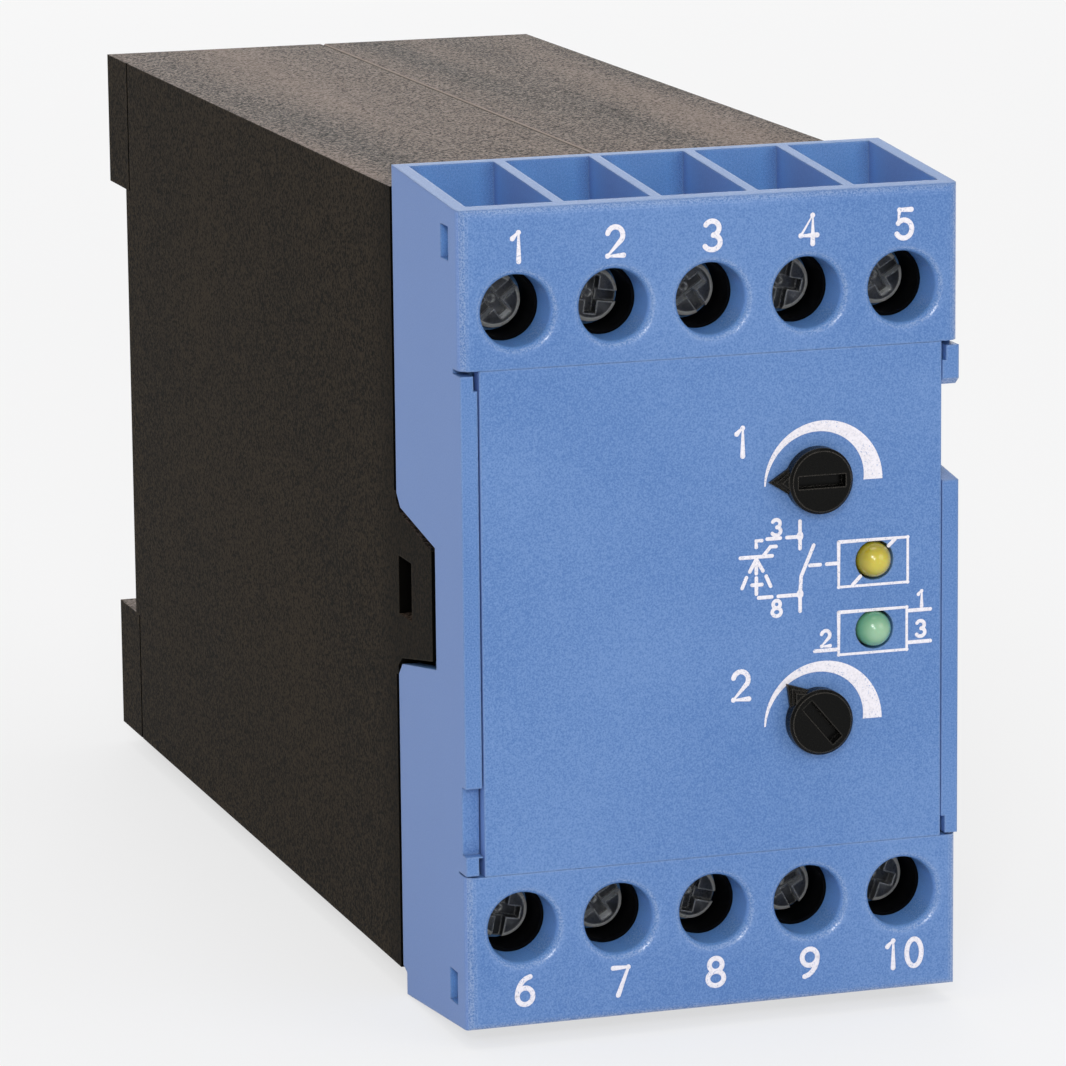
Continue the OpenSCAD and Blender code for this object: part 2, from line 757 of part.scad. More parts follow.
// Two disc varistors on wires, one above and one below the relays.
module varistors() {
  color([0.15, 0.25, 0.6]) for (s = [-1, 1]) {
    x = pboard_x1 + 2 + varistor_d / 2;
    y = relay_y0 + 6;
    rod_y(varistor_d, x, s * outer_z, y - varistor_t / 2, y + varistor_t / 2);
    for (t = [-1, 1]) rod_x(0.8, y, s * outer_z + t * 3, pboard_x0 - 1, x - varistor_d / 2 + 2);
  }
}

// Potted supply transformer.
module supply_coil() {
  color([0.2, 0.2, 0.22]) {
    y = thyr_y0 - 1;
    z = outer_z + 0.5;
    box(pboard_x1 + fit_gap, pboard_x1 + coil_h, y, y + coil_l, z - coil_w / 2, z + coil_w / 2);
    for (t = [2, 22]) for (s = [-1, 1]) {
      rod_x(0.8, thyr_y0 + t, s * 4 + outer_z, pboard_x0 - 1, pboard_x1 + 1);
    }
  }
}

// Tongue of a half shell with release window and inner nose, drawn on the right.
module tongue() {
  difference() {
    pull_x(hw - tongue_t, hw) polygon([
      [tongue_y0, -4.85], [tongue_y0, 4.85], [head_rear_y - 1, 6.5], [shell_y + 0.6, 7.8],
      [shell_y + 0.6, -7.8], [head_rear_y - 1, -6.5]
    ]);
    box(hw - tongue_t - 1, hw + 1, front_y + 15.2, front_y + 19, -2.6, 2.6);
  }
  box(hw - tongue_t - 1.1, hw - tongue_t + 0.2, catch_y0, catch_y0 + 1.4, -2.7, 2.7);
}

// Outside of one half shell with its foot block and hook, drawn on the right from the seam.
module shell_outside(seam) {
  difference() {
    box(seam, hw, shell_y, foot_d, -hz, hz);
    box(-1, hw + 1, 0, foot_d + 1, -foot_z, foot_z);
    both_rows() {
      box(hw - 0.25, hw + 1, -1.6, -1.2, foot_z, hz + 1);
      box(hw - shadow_d, hw + 1, shell_y - 1, shell_y + shadow_w, 8.2, hz + 1);
      box(seam - 1, hook_half + 0.3, -relief_d, 1, relief_z, foot_z);
      pull_y(shell_y - 1, foot_d + 1) polygon([
        [seam - 1, hz - seam_cut - 1], [seam + seam_cut + 1, hz + 1], [seam - 1, hz + 1]
      ]);
    }
  }
  tongue();
  pull_x(seam, hook_half) polygon([
    [-0.5, foot_z + 0.5], [-0.5, rail_h / 2 + 0.2], [rail_slot, rail_h / 2 + 0.2], [rail_slot, nose_z],
    [rail_slot + 1.3, nose_z], [rail_slot + 2, nose_z + 0.7], [rail_slot + 2, foot_z + 0.5]
  ]);
}

// Hollow of one half shell, drawn on the right.
module shell_hollow() {
  box(-1, cavity_x, shell_y - 1, -rail_wall, -cavity_z, cavity_z);
  both_rows() box(15.5, cavity_x, -rail_wall - 1, foot_d - housing_wall, foot_z + housing_wall, cavity_z);
  box(-1, latch_w / 2 + tunnel_gap, latch_y0 - tunnel_gap, latch_y1 + tunnel_gap, -hz - 1, 1 - foot_z);
}

// Ribs that hold the front board, and half of the peg that the latch spring stands on.
module shell_ribs(seam) {
  box(cavity_x - 1.7, cavity_x + 0.2, board_y0 - 0.95, board_y0 - fit_gap, -30, 30);
  box(cavity_x - 1.7, cavity_x + 0.2, board_y1 + fit_gap, board_y1 + 1, -30, 30);
  box(seam, 1.8, latch_y0 - 0.5, latch_y1 + 0.5, -peg_z1, -peg_z0);
}

// Half shell, drawn on the right from the seam.
module half_shell(seam) {
  difference() {
    shell_outside(seam);
    shell_hollow();
  }
  shell_ribs(seam);
}

// Pair of ribs at the roof and the floor for the edge of a plate.
module edge_ribs(x0, x1, y0, y1) {
  both_rows() {
    box(x0 - 0.9, x0 - fit_gap, y0, y1, cavity_z - 2.4, cavity_z + 0.2);
    box(x1 + fit_gap, x1 + 0.9, y0, y1, cavity_z - 2.4, cavity_z + 0.2);
  }
}

module housing_left() {
  color(black) {
    mirror([1, 0, 0]) half_shell(fit_gap / 2 - seam_x);
    edge_ribs(pboard_x0, pboard_x1, pboard_y0 + 3, pboard_y1 - 2);
    both_rows() {
      box(-2.5, seam_x - fit_gap, board_y1 + 2, -4, cavity_z - 1, cavity_z + 0.2);
      box(-1, seam_x + 1.2, board_y1 + 2, -4, cavity_z - 1, cavity_z - fit_gap);
    }
  }
}

module housing_right() {
  color(black) {
    half_shell(seam_x + fit_gap / 2);
    edge_ribs(sink_x0, sink_x1, sink_y0 + 3, sink_y1 - 2);
  }
}

// Sliding latch with bevelled nose, spring window and pull tab.
module rail_latch() {
  w = latch_w / 2;
  color([0.2, 0.19, 0.18]) difference() {
    pull_x(-w, w) polygon([
      [latch_y0, -latch_end_z], [latch_y0, -rail_h / 2 - 0.5], [rail_slot, -rail_h / 2 - 0.25],
      [rail_slot, -nose_z], [rail_slot + 0.9, -nose_z], [rail_slot + 2.6, -nose_z - 1.7],
      [latch_y1, -rail_h / 2 - 0.5], [latch_y1, -latch_end_z]
    ]);
    box(-window_w / 2, window_w / 2, 0, foot_d, -window_z1, -window_z0);
    box(-2.6, 2.6, -1, foot_d, -latch_end_z + 0.5, -latch_end_z + 1.6);
  }
}

// Bent leaf spring between the housing's peg and the latch.
module latch_spring() {
  t = 0.35;
  a = 1.7;
  z0 = -peg_z0 + 0.05;
  z1 = -window_z0 - 0.05;
  n = 5;
  p = (z1 - z0 - t) / n;
  color(steel) for (i = [0 : n - 1]) {
    x = i % 2 == 0 ? -a : a;
    z = z0 + i * p;
    pull_y(latch_y0 + 0.9, latch_y1 - 0.9) polygon([[x, z], [-x, z + p], [-x, z + p + t], [x, z + t]]);
  }
}

housing_left();
housing_right();
terminal_head();
front_panel();
knob_upper();
knob_lower();
pot_upper();
pot_lower();
lamp_yellow();
lamp_green();
screw_u1();
screw_u2();
screw_u3();
screw_u4();
screw_u5();
screw_l1();
screw_l2();
screw_l3();
screw_l4();
screw_l5();
cage_u1();
cage_u2();
cage_u3();
cage_u4();
cage_u5();
cage_l1();
cage_l2();
cage_l3();
cage_l4();
cage_l5();
bars_upper();
bars_lower();
front_board();
control_chip();
board_header();
power_board();
relay_a();
relay_b();
thyristor_a();
thyristor_b();
sink_screws();
heat_sink();
line_capacitor();
varistors();
supply_coil();
rail_latch();
latch_spring();
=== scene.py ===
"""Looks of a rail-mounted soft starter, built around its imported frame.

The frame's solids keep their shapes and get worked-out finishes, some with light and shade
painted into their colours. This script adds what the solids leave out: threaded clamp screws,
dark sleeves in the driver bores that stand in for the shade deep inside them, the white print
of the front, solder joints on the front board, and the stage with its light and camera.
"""

import logging
import math
from abc import ABC, abstractmethod
from dataclasses import dataclass, field
from enum import Enum
from typing import Any, Callable, Iterable, Optional, Sequence, Union

import bmesh
import bpy
from mathutils import Matrix, Vector


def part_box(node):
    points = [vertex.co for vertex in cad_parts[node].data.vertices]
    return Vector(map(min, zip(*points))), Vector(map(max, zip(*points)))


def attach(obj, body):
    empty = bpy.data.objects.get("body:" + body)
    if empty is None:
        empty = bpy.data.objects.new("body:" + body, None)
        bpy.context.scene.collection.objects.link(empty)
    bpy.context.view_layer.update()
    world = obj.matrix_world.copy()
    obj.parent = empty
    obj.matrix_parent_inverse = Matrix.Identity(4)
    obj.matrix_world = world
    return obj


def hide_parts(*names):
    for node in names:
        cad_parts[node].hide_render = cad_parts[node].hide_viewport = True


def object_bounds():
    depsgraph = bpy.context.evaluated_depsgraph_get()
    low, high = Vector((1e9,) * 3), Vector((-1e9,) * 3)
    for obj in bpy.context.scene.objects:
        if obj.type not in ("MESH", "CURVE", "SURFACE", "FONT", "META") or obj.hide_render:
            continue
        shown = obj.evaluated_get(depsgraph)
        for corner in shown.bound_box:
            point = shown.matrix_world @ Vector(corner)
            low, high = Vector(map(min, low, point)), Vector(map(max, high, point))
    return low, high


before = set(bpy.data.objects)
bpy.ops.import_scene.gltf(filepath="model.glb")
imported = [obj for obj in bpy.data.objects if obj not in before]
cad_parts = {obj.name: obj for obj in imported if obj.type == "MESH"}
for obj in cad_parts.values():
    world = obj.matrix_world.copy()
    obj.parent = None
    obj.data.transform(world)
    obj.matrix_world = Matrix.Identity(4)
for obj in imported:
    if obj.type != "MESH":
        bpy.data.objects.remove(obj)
CAD_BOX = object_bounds()
MM = 0.001
MEAN = 0.5  # Middle value of a noise pattern.
WHITE = (1.0, 1.0, 1.0)
QUARTER_TURN = math.radians(90)
LOG = logging.getLogger("soft_starter")
Triple = tuple[float, float, float]
Colour = Triple
Point = tuple[float, float]
Number = Union["Wire", float]


def srgb(red: int, green: int, blue: int) -> Colour:
    """Turns an 8-bit screen colour into a linear one.

    Args:
        red: Red part, from 0 to 255.
        green: Green part, from 0 to 255.
        blue: Blue part, from 0 to 255.

    Returns:
        The linear colour.
    """
    parts = [value / 255 for value in (red, green, blue)]
    return tuple(p / 12.92 if p <= 0.04045 else ((p + 0.055) / 1.055) ** 2.4 for p in parts)


def operator(operation: str, swapped: bool = False) -> Callable[["Wire", Number], "Wire"]:
    """Makes the method of one Python operator.

    Args:
        operation: Operation of the Math node that it adds.
        swapped: Whether the other value stands on the left.

    Returns:
        The method.
    """
    def method(wire: "Wire", other: Number) -> "Wire":
        """Adds one Math node for two values."""
        first, second = (other, wire) if swapped else (wire, other)
        return wire.kit.node("ShaderNodeMath", {"operation": operation}, {0: first, 1: second})
    return method


class Wire:
    """Output socket of a node that Python sums can use."""

    __add__ = operator("ADD")
    __radd__ = operator("ADD", swapped=True)
    __sub__ = operator("SUBTRACT")
    __rsub__ = operator("SUBTRACT", swapped=True)
    __mul__ = operator("MULTIPLY")
    __truediv__ = operator("DIVIDE")
    __pow__ = operator("POWER")
    __gt__ = operator("GREATER_THAN")
    __lt__ = operator("LESS_THAN")

    def __init__(self, kit: "TreeKit", socket: bpy.types.NodeSocket) -> None:
        """Keeps the socket and the tree that it belongs to."""
        self.kit = kit
        self.socket = socket

    def held(self) -> "Wire":
        """Keeps the value between zero and one."""
        return self.kit.node("ShaderNodeClamp", {}, {"Value": self})


class TreeKit:
    """Node tree with the one method that makes its nodes."""

    def __init__(self, tree: bpy.types.NodeTree) -> None:
        """Keeps the tree and empties it."""
        self.tree = tree
        self.tree.nodes.clear()

    def node(
        self,
        kind: str,
        settings: Optional[dict[str, Any]] = None,
        inputs: Optional[dict[Union[str, int], Any]] = None,
        output: Union[str, int] = 0,
    ) -> Wire:
        """Makes a node, sets it up and joins its sockets.

        Args:
            kind: Blender's type name of the node.
            settings: The node's own properties, which are set first.
            inputs: Values or wires by socket name or number; a list of wires joins them all.
            output: The socket to give back.

        Returns:
            The chosen output.
        """
        made = self.tree.nodes.new(kind)
        for key, value in (settings or {}).items():
            setattr(made, key, value)
        for key, value in (inputs or {}).items():
            for one in value if isinstance(value, list) else [value]:
                if isinstance(one, Wire):
                    self.tree.links.new(one.socket, made.inputs[key])
                else:
                    made.inputs[key].default_value = one
        return Wire(self, made.outputs[output] if made.outputs else None)


class ShaderKit(TreeKit):
    """Node tree of one material, with the patterns that the finishes share."""

    EDGE_GAIN = 10.0
    EDGE_POWER = 0.6
    UPWARD = (0.35, 0.75)
    CURVED = (0.02, 0.16)

    def __init__(self, name: str) -> None:
        """Makes an empty material of that name."""
        self.material = bpy.data.materials.new(name)
        self.material.use_nodes = True
        super().__init__(self.material.node_tree)
        self.where = self.node("ShaderNodeTexCoord", output="Object")

    def maths(self, operation: str, *values: Number) -> Wire:
        """Result of a Math node that has no operator in Python."""
        return self.node("ShaderNodeMath", {"operation": operation}, dict(enumerate(values)))

    def vectors(self, operation: str, *values: Any, output: Union[str, int] = 0) -> Wire:
        """Result of a Vector Math node."""
        settings = {"operation": operation}
        return self.node("ShaderNodeVectorMath", settings, dict(enumerate(values)), output)

    def parts(self, vector: Wire) -> tuple[Wire, Wire, Wire]:
        """The three parts of a vector."""
        outputs = self.node("ShaderNodeSeparateXYZ", {}, {0: vector}).socket.node.outputs
        return Wire(self, outputs[0]), Wire(self, outputs[1]), Wire(self, outputs[2])

    def axes(self) -> tuple[Wire, Wire, Wire]:
        """The three coordinates of the place on the piece."""
        return self.parts(self.where)

    def stretched(self, stretch: Triple) -> Wire:
        """Place on the piece, drawn out along its axes."""
        return self.node("ShaderNodeMapping", {}, {"Vector": self.where, "Scale": stretch})

    def noise(
        self, size: float, detail: float = 2.0, rough: float = 0.5, where: Optional[Wire] = None
    ) -> Wire:
        """Soft random pattern.

        Args:
            size: Size of its patches in metres.
            detail: Number of finer layers.
            rough: Strength of the finer layers.
            where: Place that it reads; the place on the piece by default.

        Returns:
            Values around one half.
        """
        inputs = {"Vector": where or self.where, "Scale": 1 / size}
        inputs |= {"Detail": detail, "Roughness": rough}
        return self.node("ShaderNodeTexNoise", {}, inputs)

    def cells(self, size: float) -> Wire:
        """Distance to the nearest of many scattered points, from zero to about one."""
        return self.node("ShaderNodeTexVoronoi", {}, {"Vector": self.where, "Scale": 1 / size})

    def ramp(self, value: Number, low: float, high: float) -> Wire:
        """Smooth step from zero at low to one at high."""
        settings = {"interpolation_type": "SMOOTHSTEP", "clamp": True}
        inputs = {"Value": value, "From Min": low, "From Max": high}
        return self.node("ShaderNodeMapRange", settings, inputs)

    def blend(self, share: Number, first: Any, second: Any) -> Wire:
        """Mixes two colours, given as wires or as linear colours."""
        pair = [(*c, 1.0) if isinstance(c, tuple) else c for c in (first, second)]
        settings = {"data_type": "RGBA", "clamp_factor": True}
        return self.node("ShaderNodeMix", settings, {0: share, 6: pair[0], 7: pair[1]}, 2)

    def edges(self, radius: float) -> tuple[Wire, Wire]:
        """Normal with its edges rounded off, and a mask of those edges.

        Args:
            radius: Radius of the rounding in metres.

        Returns:
            The rounded normal, and one along the edges.
        """
        rounded = self.node("ShaderNodeBevel", {"samples": 2}, {"Radius": radius})
        flat = self.node("ShaderNodeNewGeometry", output="Normal")
        agree = self.vectors("DOT_PRODUCT", rounded, flat, output="Value")
        return rounded, (((1 - agree) * self.EDGE_GAIN).held() ** self.EDGE_POWER).held()

    def facing(self) -> tuple[Wire, Wire, Wire]:
        """How far a surface looks along each axis, from minus one to one."""
        return self.parts(self.node("ShaderNodeNewGeometry", output="Normal"))

    def upward(self) -> Wire:
        """One on faces that look upwards, zero on walls."""
        return self.ramp(self.facing()[2], *self.UPWARD)

    def curved(self) -> Wire:
        """One on rounded rims and slopes, zero on faces that are square to an axis."""
        sizes = [self.maths("ABSOLUTE", part) for part in self.facing()]
        most = self.maths("MAXIMUM", self.maths("MAXIMUM", sizes[0], sizes[1]), sizes[2])
        return self.ramp(1 - most, *self.CURVED)

    def nooks(self, reach: float) -> Wire:
        """One on open faces, falling towards zero in corners and slots."""
        settings = {"samples": 1, "only_local": True}
        return self.node("ShaderNodeAmbientOcclusion", settings, {"Distance": reach}, "AO")

    def bump(self, height: Wire, depth: float, normal: Optional[Wire] = None) -> Wire:
        """Normal of a surface that is raised by a height pattern of that depth in metres."""
        inputs = {"Strength": 1.0, "Distance": depth, "Height": height}
        if normal is not None:
            inputs["Normal"] = normal
        return self.node("ShaderNodeBump", {}, inputs)

    def principled(self, **inputs: Any) -> Wire:
        """Main shader, with its sockets named in plain words joined by underlines."""
        named = {key.replace("_", " "): value for key, value in inputs.items()}
        for key, value in named.items():
            if isinstance(value, tuple):
                named[key] = (*value, 1.0)
        return self.node("ShaderNodeBsdfPrincipled", {}, named)

    def close(self, surface: Wire) -> bpy.types.Material:
        """Joins the surface to the output and gives back the material."""
        self.node("ShaderNodeOutputMaterial", {}, {"Surface": surface})
        return self.material


@dataclass(frozen=True)
class Finish(ABC):
    """Finish of one material of the object."""

    name: str

    def material(self) -> bpy.types.Material:
        """Gives the material of this finish, which is made once."""
        known = bpy.data.materials.get(self.name)
        if known is not None:
            return known
        kit = ShaderKit(self.name)
        return kit.close(self.surface(kit))

    @abstractmethod
    def surface(self, kit: ShaderKit) -> Wire:
        """Builds the shader and gives back its output."""

    def dress(self, *pieces: bpy.types.Object) -> None:
        """Puts this finish on every slot of the pieces."""
        made = self.material()
        for piece in pieces:
            if not piece.material_slots:
                piece.data.materials.append(made)
            for slot in piece.material_slots:
                slot.material = made


class Shine(Enum):
    """Faces of a moulding that have a gloss of their own."""

    NOWHERE = "nowhere"
    RIMS = "rims"
    TOPS = "tops"


@dataclass(frozen=True)
class MouldedPlastic(Finish):
    """Moulded plastic with mould grain, edges lighter from wear and a painted highlight, and
    painted corner shade.
    """

    dark: Colour
    light: Colour
    worn_and_highlit: Colour
    grain: float
    depth: float
    roughness: float
    spread: float = 0.2
    wear_and_highlight: float = 0.6
    edge: float = 0.22 * MM
    contrast: float = 0.16
    gloss: float = 0.5
    cloudy: float = 0.24
    cloud_size: float = 18 * MM
    shade: float = 0.35
    corner: float = 1.6 * MM
    corner_shade_tone: float = 0.45
    tint: Colour = WHITE
    shine: Shine = Shine.NOWHERE
    glint: float = 0.0
    glint_roughness: float = 0.2
    glint_index: float = 1.5

    def sheen(self, kit: ShaderKit, grain: Wire) -> Number:
        """Weight of the glossy coat.

        Args:
            kit: Tree of the material.
            grain: Pattern that breaks the gloss up.

        Returns:
            The weight, zero where there is no gloss.
        """
        if self.shine is Shine.RIMS:
            return kit.curved() * kit.ramp(grain, 0.4, 0.6) * self.glint
        if self.shine is Shine.TOPS:
            return kit.upward() * kit.ramp(grain, 0.38, 0.62) * self.glint
        return 0.0

    def overlay(self, kit: ShaderKit, base: Wire, grain: Wire) -> Wire:
        """Colour with what lies on the plastic, which is nothing here."""
        return base

    def surface(self, kit: ShaderKit) -> Wire:
        """Builds grain, cloudy tone, worn and highlit edges, painted corner shade, and sheen."""
        rounded, edge = kit.edges(self.edge)
        open_face = kit.nooks(self.corner)
        fine = kit.noise(self.grain, 3.0, 0.62)
        pits = kit.cells(self.grain * 1.7)
        cloud = kit.noise(self.cloud_size, 3.0, 0.55)
        mottle = fine * (1 - self.cloudy) + cloud * self.cloudy
        tone = kit.ramp(mottle, MEAN - self.contrast, MEAN + self.contrast)
        base = kit.blend(tone, self.dark, self.light)
        # Lighter edges: partly wear, partly a painted highlight along the edges.
        rubbed_and_highlit = edge * open_face * self.wear_and_highlight * (0.55 + cloud * 0.9)
        base = kit.blend(rubbed_and_highlit, base, self.worn_and_highlit)
        # Painted shade: darker in corners and slots, where shade falls.
        corner_shade = tuple(c * self.corner_shade_tone for c in self.dark)
        base = kit.blend((1 - open_face) * self.shade, base, corner_shade)
        base = self.overlay(kit, base, fine)
        rough = self.roughness + (fine - MEAN) * self.spread + (cloud - MEAN) * 0.08 - edge * 0.08
        normal = kit.bump(fine * 0.7 + pits * 0.3, self.depth, rounded)
        return kit.principled(
            Base_Color=base, Roughness=rough, Normal=normal,
            Specular_IOR_Level=self.gloss, Specular_Tint=self.tint,
            Coat_Weight=self.sheen(kit, fine), Coat_Roughness=self.glint_roughness,
            Coat_IOR=self.glint_index,
        )


@dataclass(frozen=True)
class DustySheenPlastic(MouldedPlastic):
    """Grained plastic: dust and painted sheen on top, painted shade and highlight at the seam,
    painted shade by the head.
    """

    dusty_sheen: float = 0.75
    dusty_sheen_tone: Colour = (0.2, 0.17, 0.15)
    seam_highlight_tone: Colour = (0.26, 0.22, 0.19)
    seam_top: float = 0.0
    lip_from: float = 0.14 * MM
    lip_to: float = 0.08 * MM
    band: float = 8 * MM
    band_stretch: Triple = (1.0, 0.1, 1.0)
    joint: float = 0.0
    joint_reach: float = 8 * MM
    joint_shade: float = 0.5
    front_shade_tone: float = 0.3

    def overlay(self, kit: ShaderKit, base: Wire, grain: Wire) -> Wire:
        """Lays dust and painted sheen in bands, paints seam shade and highlight, and paints shade
        near the joint and on faces towards it.
        """
        top = kit.upward()
        sideways, rearward, _ = kit.facing()
        _, along, height = kit.axes()
        # Upper faces lighter: partly dust, partly painted sheen, in bands.
        bands = kit.noise(self.band, 0.6, 0.5, kit.stretched(self.band_stretch))
        specks = kit.noise(self.grain * 0.55, 2.0, 0.7)
        dusty_sheen_share = kit.ramp(grain * 0.45 + specks * 0.35 + bands * 0.2, 0.43, 0.56)
        base = kit.blend(top * dusty_sheen_share * self.dusty_sheen, base, self.dusty_sheen_tone)
        left = kit.ramp(sideways, 0.4, 0.6)
        right = kit.ramp(sideways * -1, 0.4, 0.6)
        # Painted shade on the sloped faces of the seam.
        base = kit.blend(top * (left + right), base, self.dark)
        # Painted highlight along the top of the seam slope that looks to minus X.
        lip = kit.ramp(height, self.seam_top - self.lip_from, self.seam_top - self.lip_to)
        base = kit.blend(top * right * lip, base, self.seam_highlight_tone)
        # Painted shade, darker towards the head's joint.
        near = 1 - kit.ramp(along, self.joint, self.joint + self.joint_reach)
        base = kit.blend(near * self.joint_shade, base, self.dark)
        # Painted shade on faces that look to the front.
        shadow = tuple(c * self.front_shade_tone for c in self.dark)
        return kit.blend(kit.ramp(rearward * -1, 0.4, 0.7), base, shadow)


@dataclass(frozen=True)
class PocketedPlastic(MouldedPlastic):
    """Moulding with painted bounce light that fills its wide pockets, and painted light that pales
    its sides.
    """

    pocket_bounce_tone: Colour = (0.2, 0.4, 0.8)
    pocket_reach: float = 6 * MM
    pocket_bounce_share: float = 0.95
    side_light_tone: Colour = (0.2, 0.35, 0.75)
    side_light_share: float = 0.5

    def overlay(self, kit: ShaderKit, base: Wire, grain: Wire) -> Wire:
        """Paints light that pales the sides, and bounce light that deepens the colour where walls
        stand around but not close by.
        """
        sideways = kit.facing()[0]
        # Painted light: faces that look along X are paler.
        side = kit.ramp(sideways * sideways, 0.5, 0.9)
        base = kit.blend(side * self.side_light_share, base, self.side_light_tone)
        # Painted bounce light: fuller, brighter colour inside wide pockets.
        bounce_light_share = (1 - kit.nooks(self.pocket_reach)) * kit.nooks(self.corner)
        return kit.blend(bounce_light_share * self.pocket_bounce_share, base, self.pocket_bounce_tone)


@dataclass(frozen=True)
class LampLens(Finish):
    """Tinted lens of a lamp, clear at its dome and deeper in colour at its rim."""

    core: Colour
    rim: Colour
    centre: Triple
    radius: float
    clear_share: float = 0.25
    rim_share: float = 1.02

    def surface(self, kit: ShaderKit) -> Wire:
        """Builds the tint from the distance to the lamp's axis."""
        away = kit.vectors("SUBTRACT", kit.where, self.centre)
        flat = kit.vectors("MULTIPLY", away, (1.0, 0.0, 1.0))
        reach = kit.vectors("LENGTH", flat, output="Value")
        cloud = kit.noise(0.8 * MM, 2.0)
        uneven = reach + (cloud - MEAN) * (0.3 * MM)
        share = kit.ramp(uneven, self.clear_share * self.radius, self.rim_share * self.radius)
        base = kit.blend(share, self.core, self.rim)
        rough = 0.16 + kit.noise(0.25 * MM, 2.0) * 0.1
        return kit.principled(
            Base_Color=base, Roughness=rough, Normal=kit.bump(cloud, 0.01 * MM),
            Coat_Weight=0.6, Coat_Roughness=0.2,
            Subsurface_Weight=0.25, Subsurface_Scale=0.6 * MM,
            Emission_Color=self.core, Emission_Strength=0.04,
        )


@dataclass(frozen=True)
class PlatedMetal(Finish):
    """Plated or bare metal with fine scratches, duller patches, painted shade in corners and
    painted glare.
    """

    base: Colour
    dull: Colour
    roughness: float
    along: Triple = (1.0, 1.0, 1.0)
    scratch: float = 0.35 * MM
    scratch_depth: float = 0.008 * MM
    cloud_size: float = 2.2 * MM
    corner: float = 0.8 * MM
    edge: float = 0.08 * MM
    # Painted glare: its colour, and its share on edges and on rounded rims.
    glare: Colour = srgb(240, 240, 236)
    bright: float = 0.0
    rims: float = 0.0
    metal: float = 1.0

    def surface(self, kit: ShaderKit) -> Wire:
        """Builds scratches along one direction over cloudy plating, with painted shade and painted
        glare.
        """
        rounded, edge = kit.edges(self.edge)
        open_face = kit.nooks(self.corner)
        lines = kit.noise(self.scratch, 3.0, 0.6, kit.stretched(self.along))
        cloud = kit.noise(self.cloud_size, 3.0, 0.6)
        tone = kit.ramp(cloud * 0.6 + lines * 0.4, 0.36, 0.64)
        base = kit.blend(tone, self.dull, self.base)
        # Painted shade in corners.
        base = kit.blend((1 - open_face) * 0.5, base, tuple(c * 0.3 for c in self.dull))
        # Painted glare on edges and, where rims is set, on rounded faces.
        glare_share = edge * open_face * self.bright
        if self.rims:
            glare_share = (glare_share + kit.curved() * self.rims).held()
        base = kit.blend(glare_share, base, self.glare)
        rough = self.roughness + (MEAN - lines) * 0.22 + (MEAN - cloud) * 0.2 - edge * 0.06
        normal = kit.bump(lines, self.scratch_depth, rounded)
        return kit.principled(Base_Color=base, Roughness=rough, Metallic=self.metal, Normal=normal)


class Zone(Enum):
    """Side of a plane on which a piece is bare metal."""

    BELOW = "below"
    ABOVE = "above"
    OUTSIDE = "outside"


@dataclass(frozen=True)
class LeadedPart(Finish):
    """Moulded body of an electronic part whose leads are tinned metal."""

    body: Colour
    fleck: Colour
    axis: int
    zone: Zone
    limit: float
    other: float = 0.0
    roughness: float = 0.45
    grain: float = 0.25 * MM
    depth: float = 0.015 * MM
    edge: float = 0.15 * MM
    cloud_size: float = 4 * MM
    tin: tuple[Colour, Colour] = (srgb(168, 168, 164), srgb(214, 212, 206))

    def surface(self, kit: ShaderKit) -> Wire:
        """Builds the body and changes to tin beyond the limit."""
        along = kit.axes()[self.axis]
        if self.zone is Zone.BELOW:
            bare = along < self.limit
        elif self.zone is Zone.ABOVE:
            bare = along > self.limit
        else:
            bare = (along < self.limit) + (along > self.other)
        rounded, edge = kit.edges(self.edge)
        fine = kit.noise(self.grain, 3.0, 0.6)
        cloud = kit.noise(self.cloud_size, 2.0)
        mottle = kit.ramp(fine * 0.7 + cloud * 0.3, 0.38, 0.62)
        skin = kit.blend(mottle, self.body, self.fleck)
        skin = kit.blend(edge * 0.35, skin, tuple(min(1.0, c * 1.8 + 0.02) for c in self.fleck))
        metal = kit.blend(kit.ramp(cloud, 0.35, 0.65), *self.tin)
        return kit.principled(
            Base_Color=kit.blend(bare, skin, metal), Metallic=bare * 0.95,
            Roughness=self.roughness + (fine - MEAN) * 0.2 - bare * 0.12,
            Normal=kit.bump(fine, self.depth, rounded),
        )


@dataclass(frozen=True)
class SolderMask(Finish):
    """Lacquered circuit board: tracks under green lacquer and a bare glass-fibre rim."""

    across: int
    up: int
    row_pitch: float = 1.1 * MM
    row_width: float = 0.38 * MM
    lane_pitch: float = 1.9 * MM
    lane_width: float = 0.5 * MM
    bend_size: float = 9 * MM
    bend: float = 5 * MM
    area_size: float = 11 * MM
    bare: Colour = srgb(20, 82, 46)
    covered: Colour = srgb(46, 128, 70)
    fibre: Colour = srgb(16, 66, 40)
    cut_rim: Colour = srgb(176, 168, 120)

    def surface(self, kit: ShaderKit) -> Wire:
        """Builds tracks from two crossed sets of stepped lines."""
        axes = kit.axes()
        wander = kit.noise(self.bend_size, 1.0)
        rows = kit.maths("PINGPONG", axes[self.up] + wander * self.bend, self.row_pitch)
        lanes = kit.maths("PINGPONG", axes[self.across], self.lane_pitch)
        area = kit.ramp(kit.noise(self.area_size, 0.0), 0.48, 0.52)
        track = (rows < self.row_width) * area + (lanes < self.lane_width) * (1 - area)
        weave = kit.noise(0.5 * MM, 2.0, 0.6)
        green = kit.blend(track.held(), self.bare, self.covered)
        green = kit.blend(weave * 0.3, green, self.fibre)
        rounded, edge = kit.edges(0.12 * MM)
        base = kit.blend(edge * 0.7, green, self.cut_rim)
        rough = 0.3 + weave * 0.16
        normal = kit.bump(track.held() * 0.8 + weave * 0.2, 0.03 * MM, rounded)
        return kit.principled(Base_Color=base, Roughness=rough, Normal=normal, Coat_Weight=0.2)


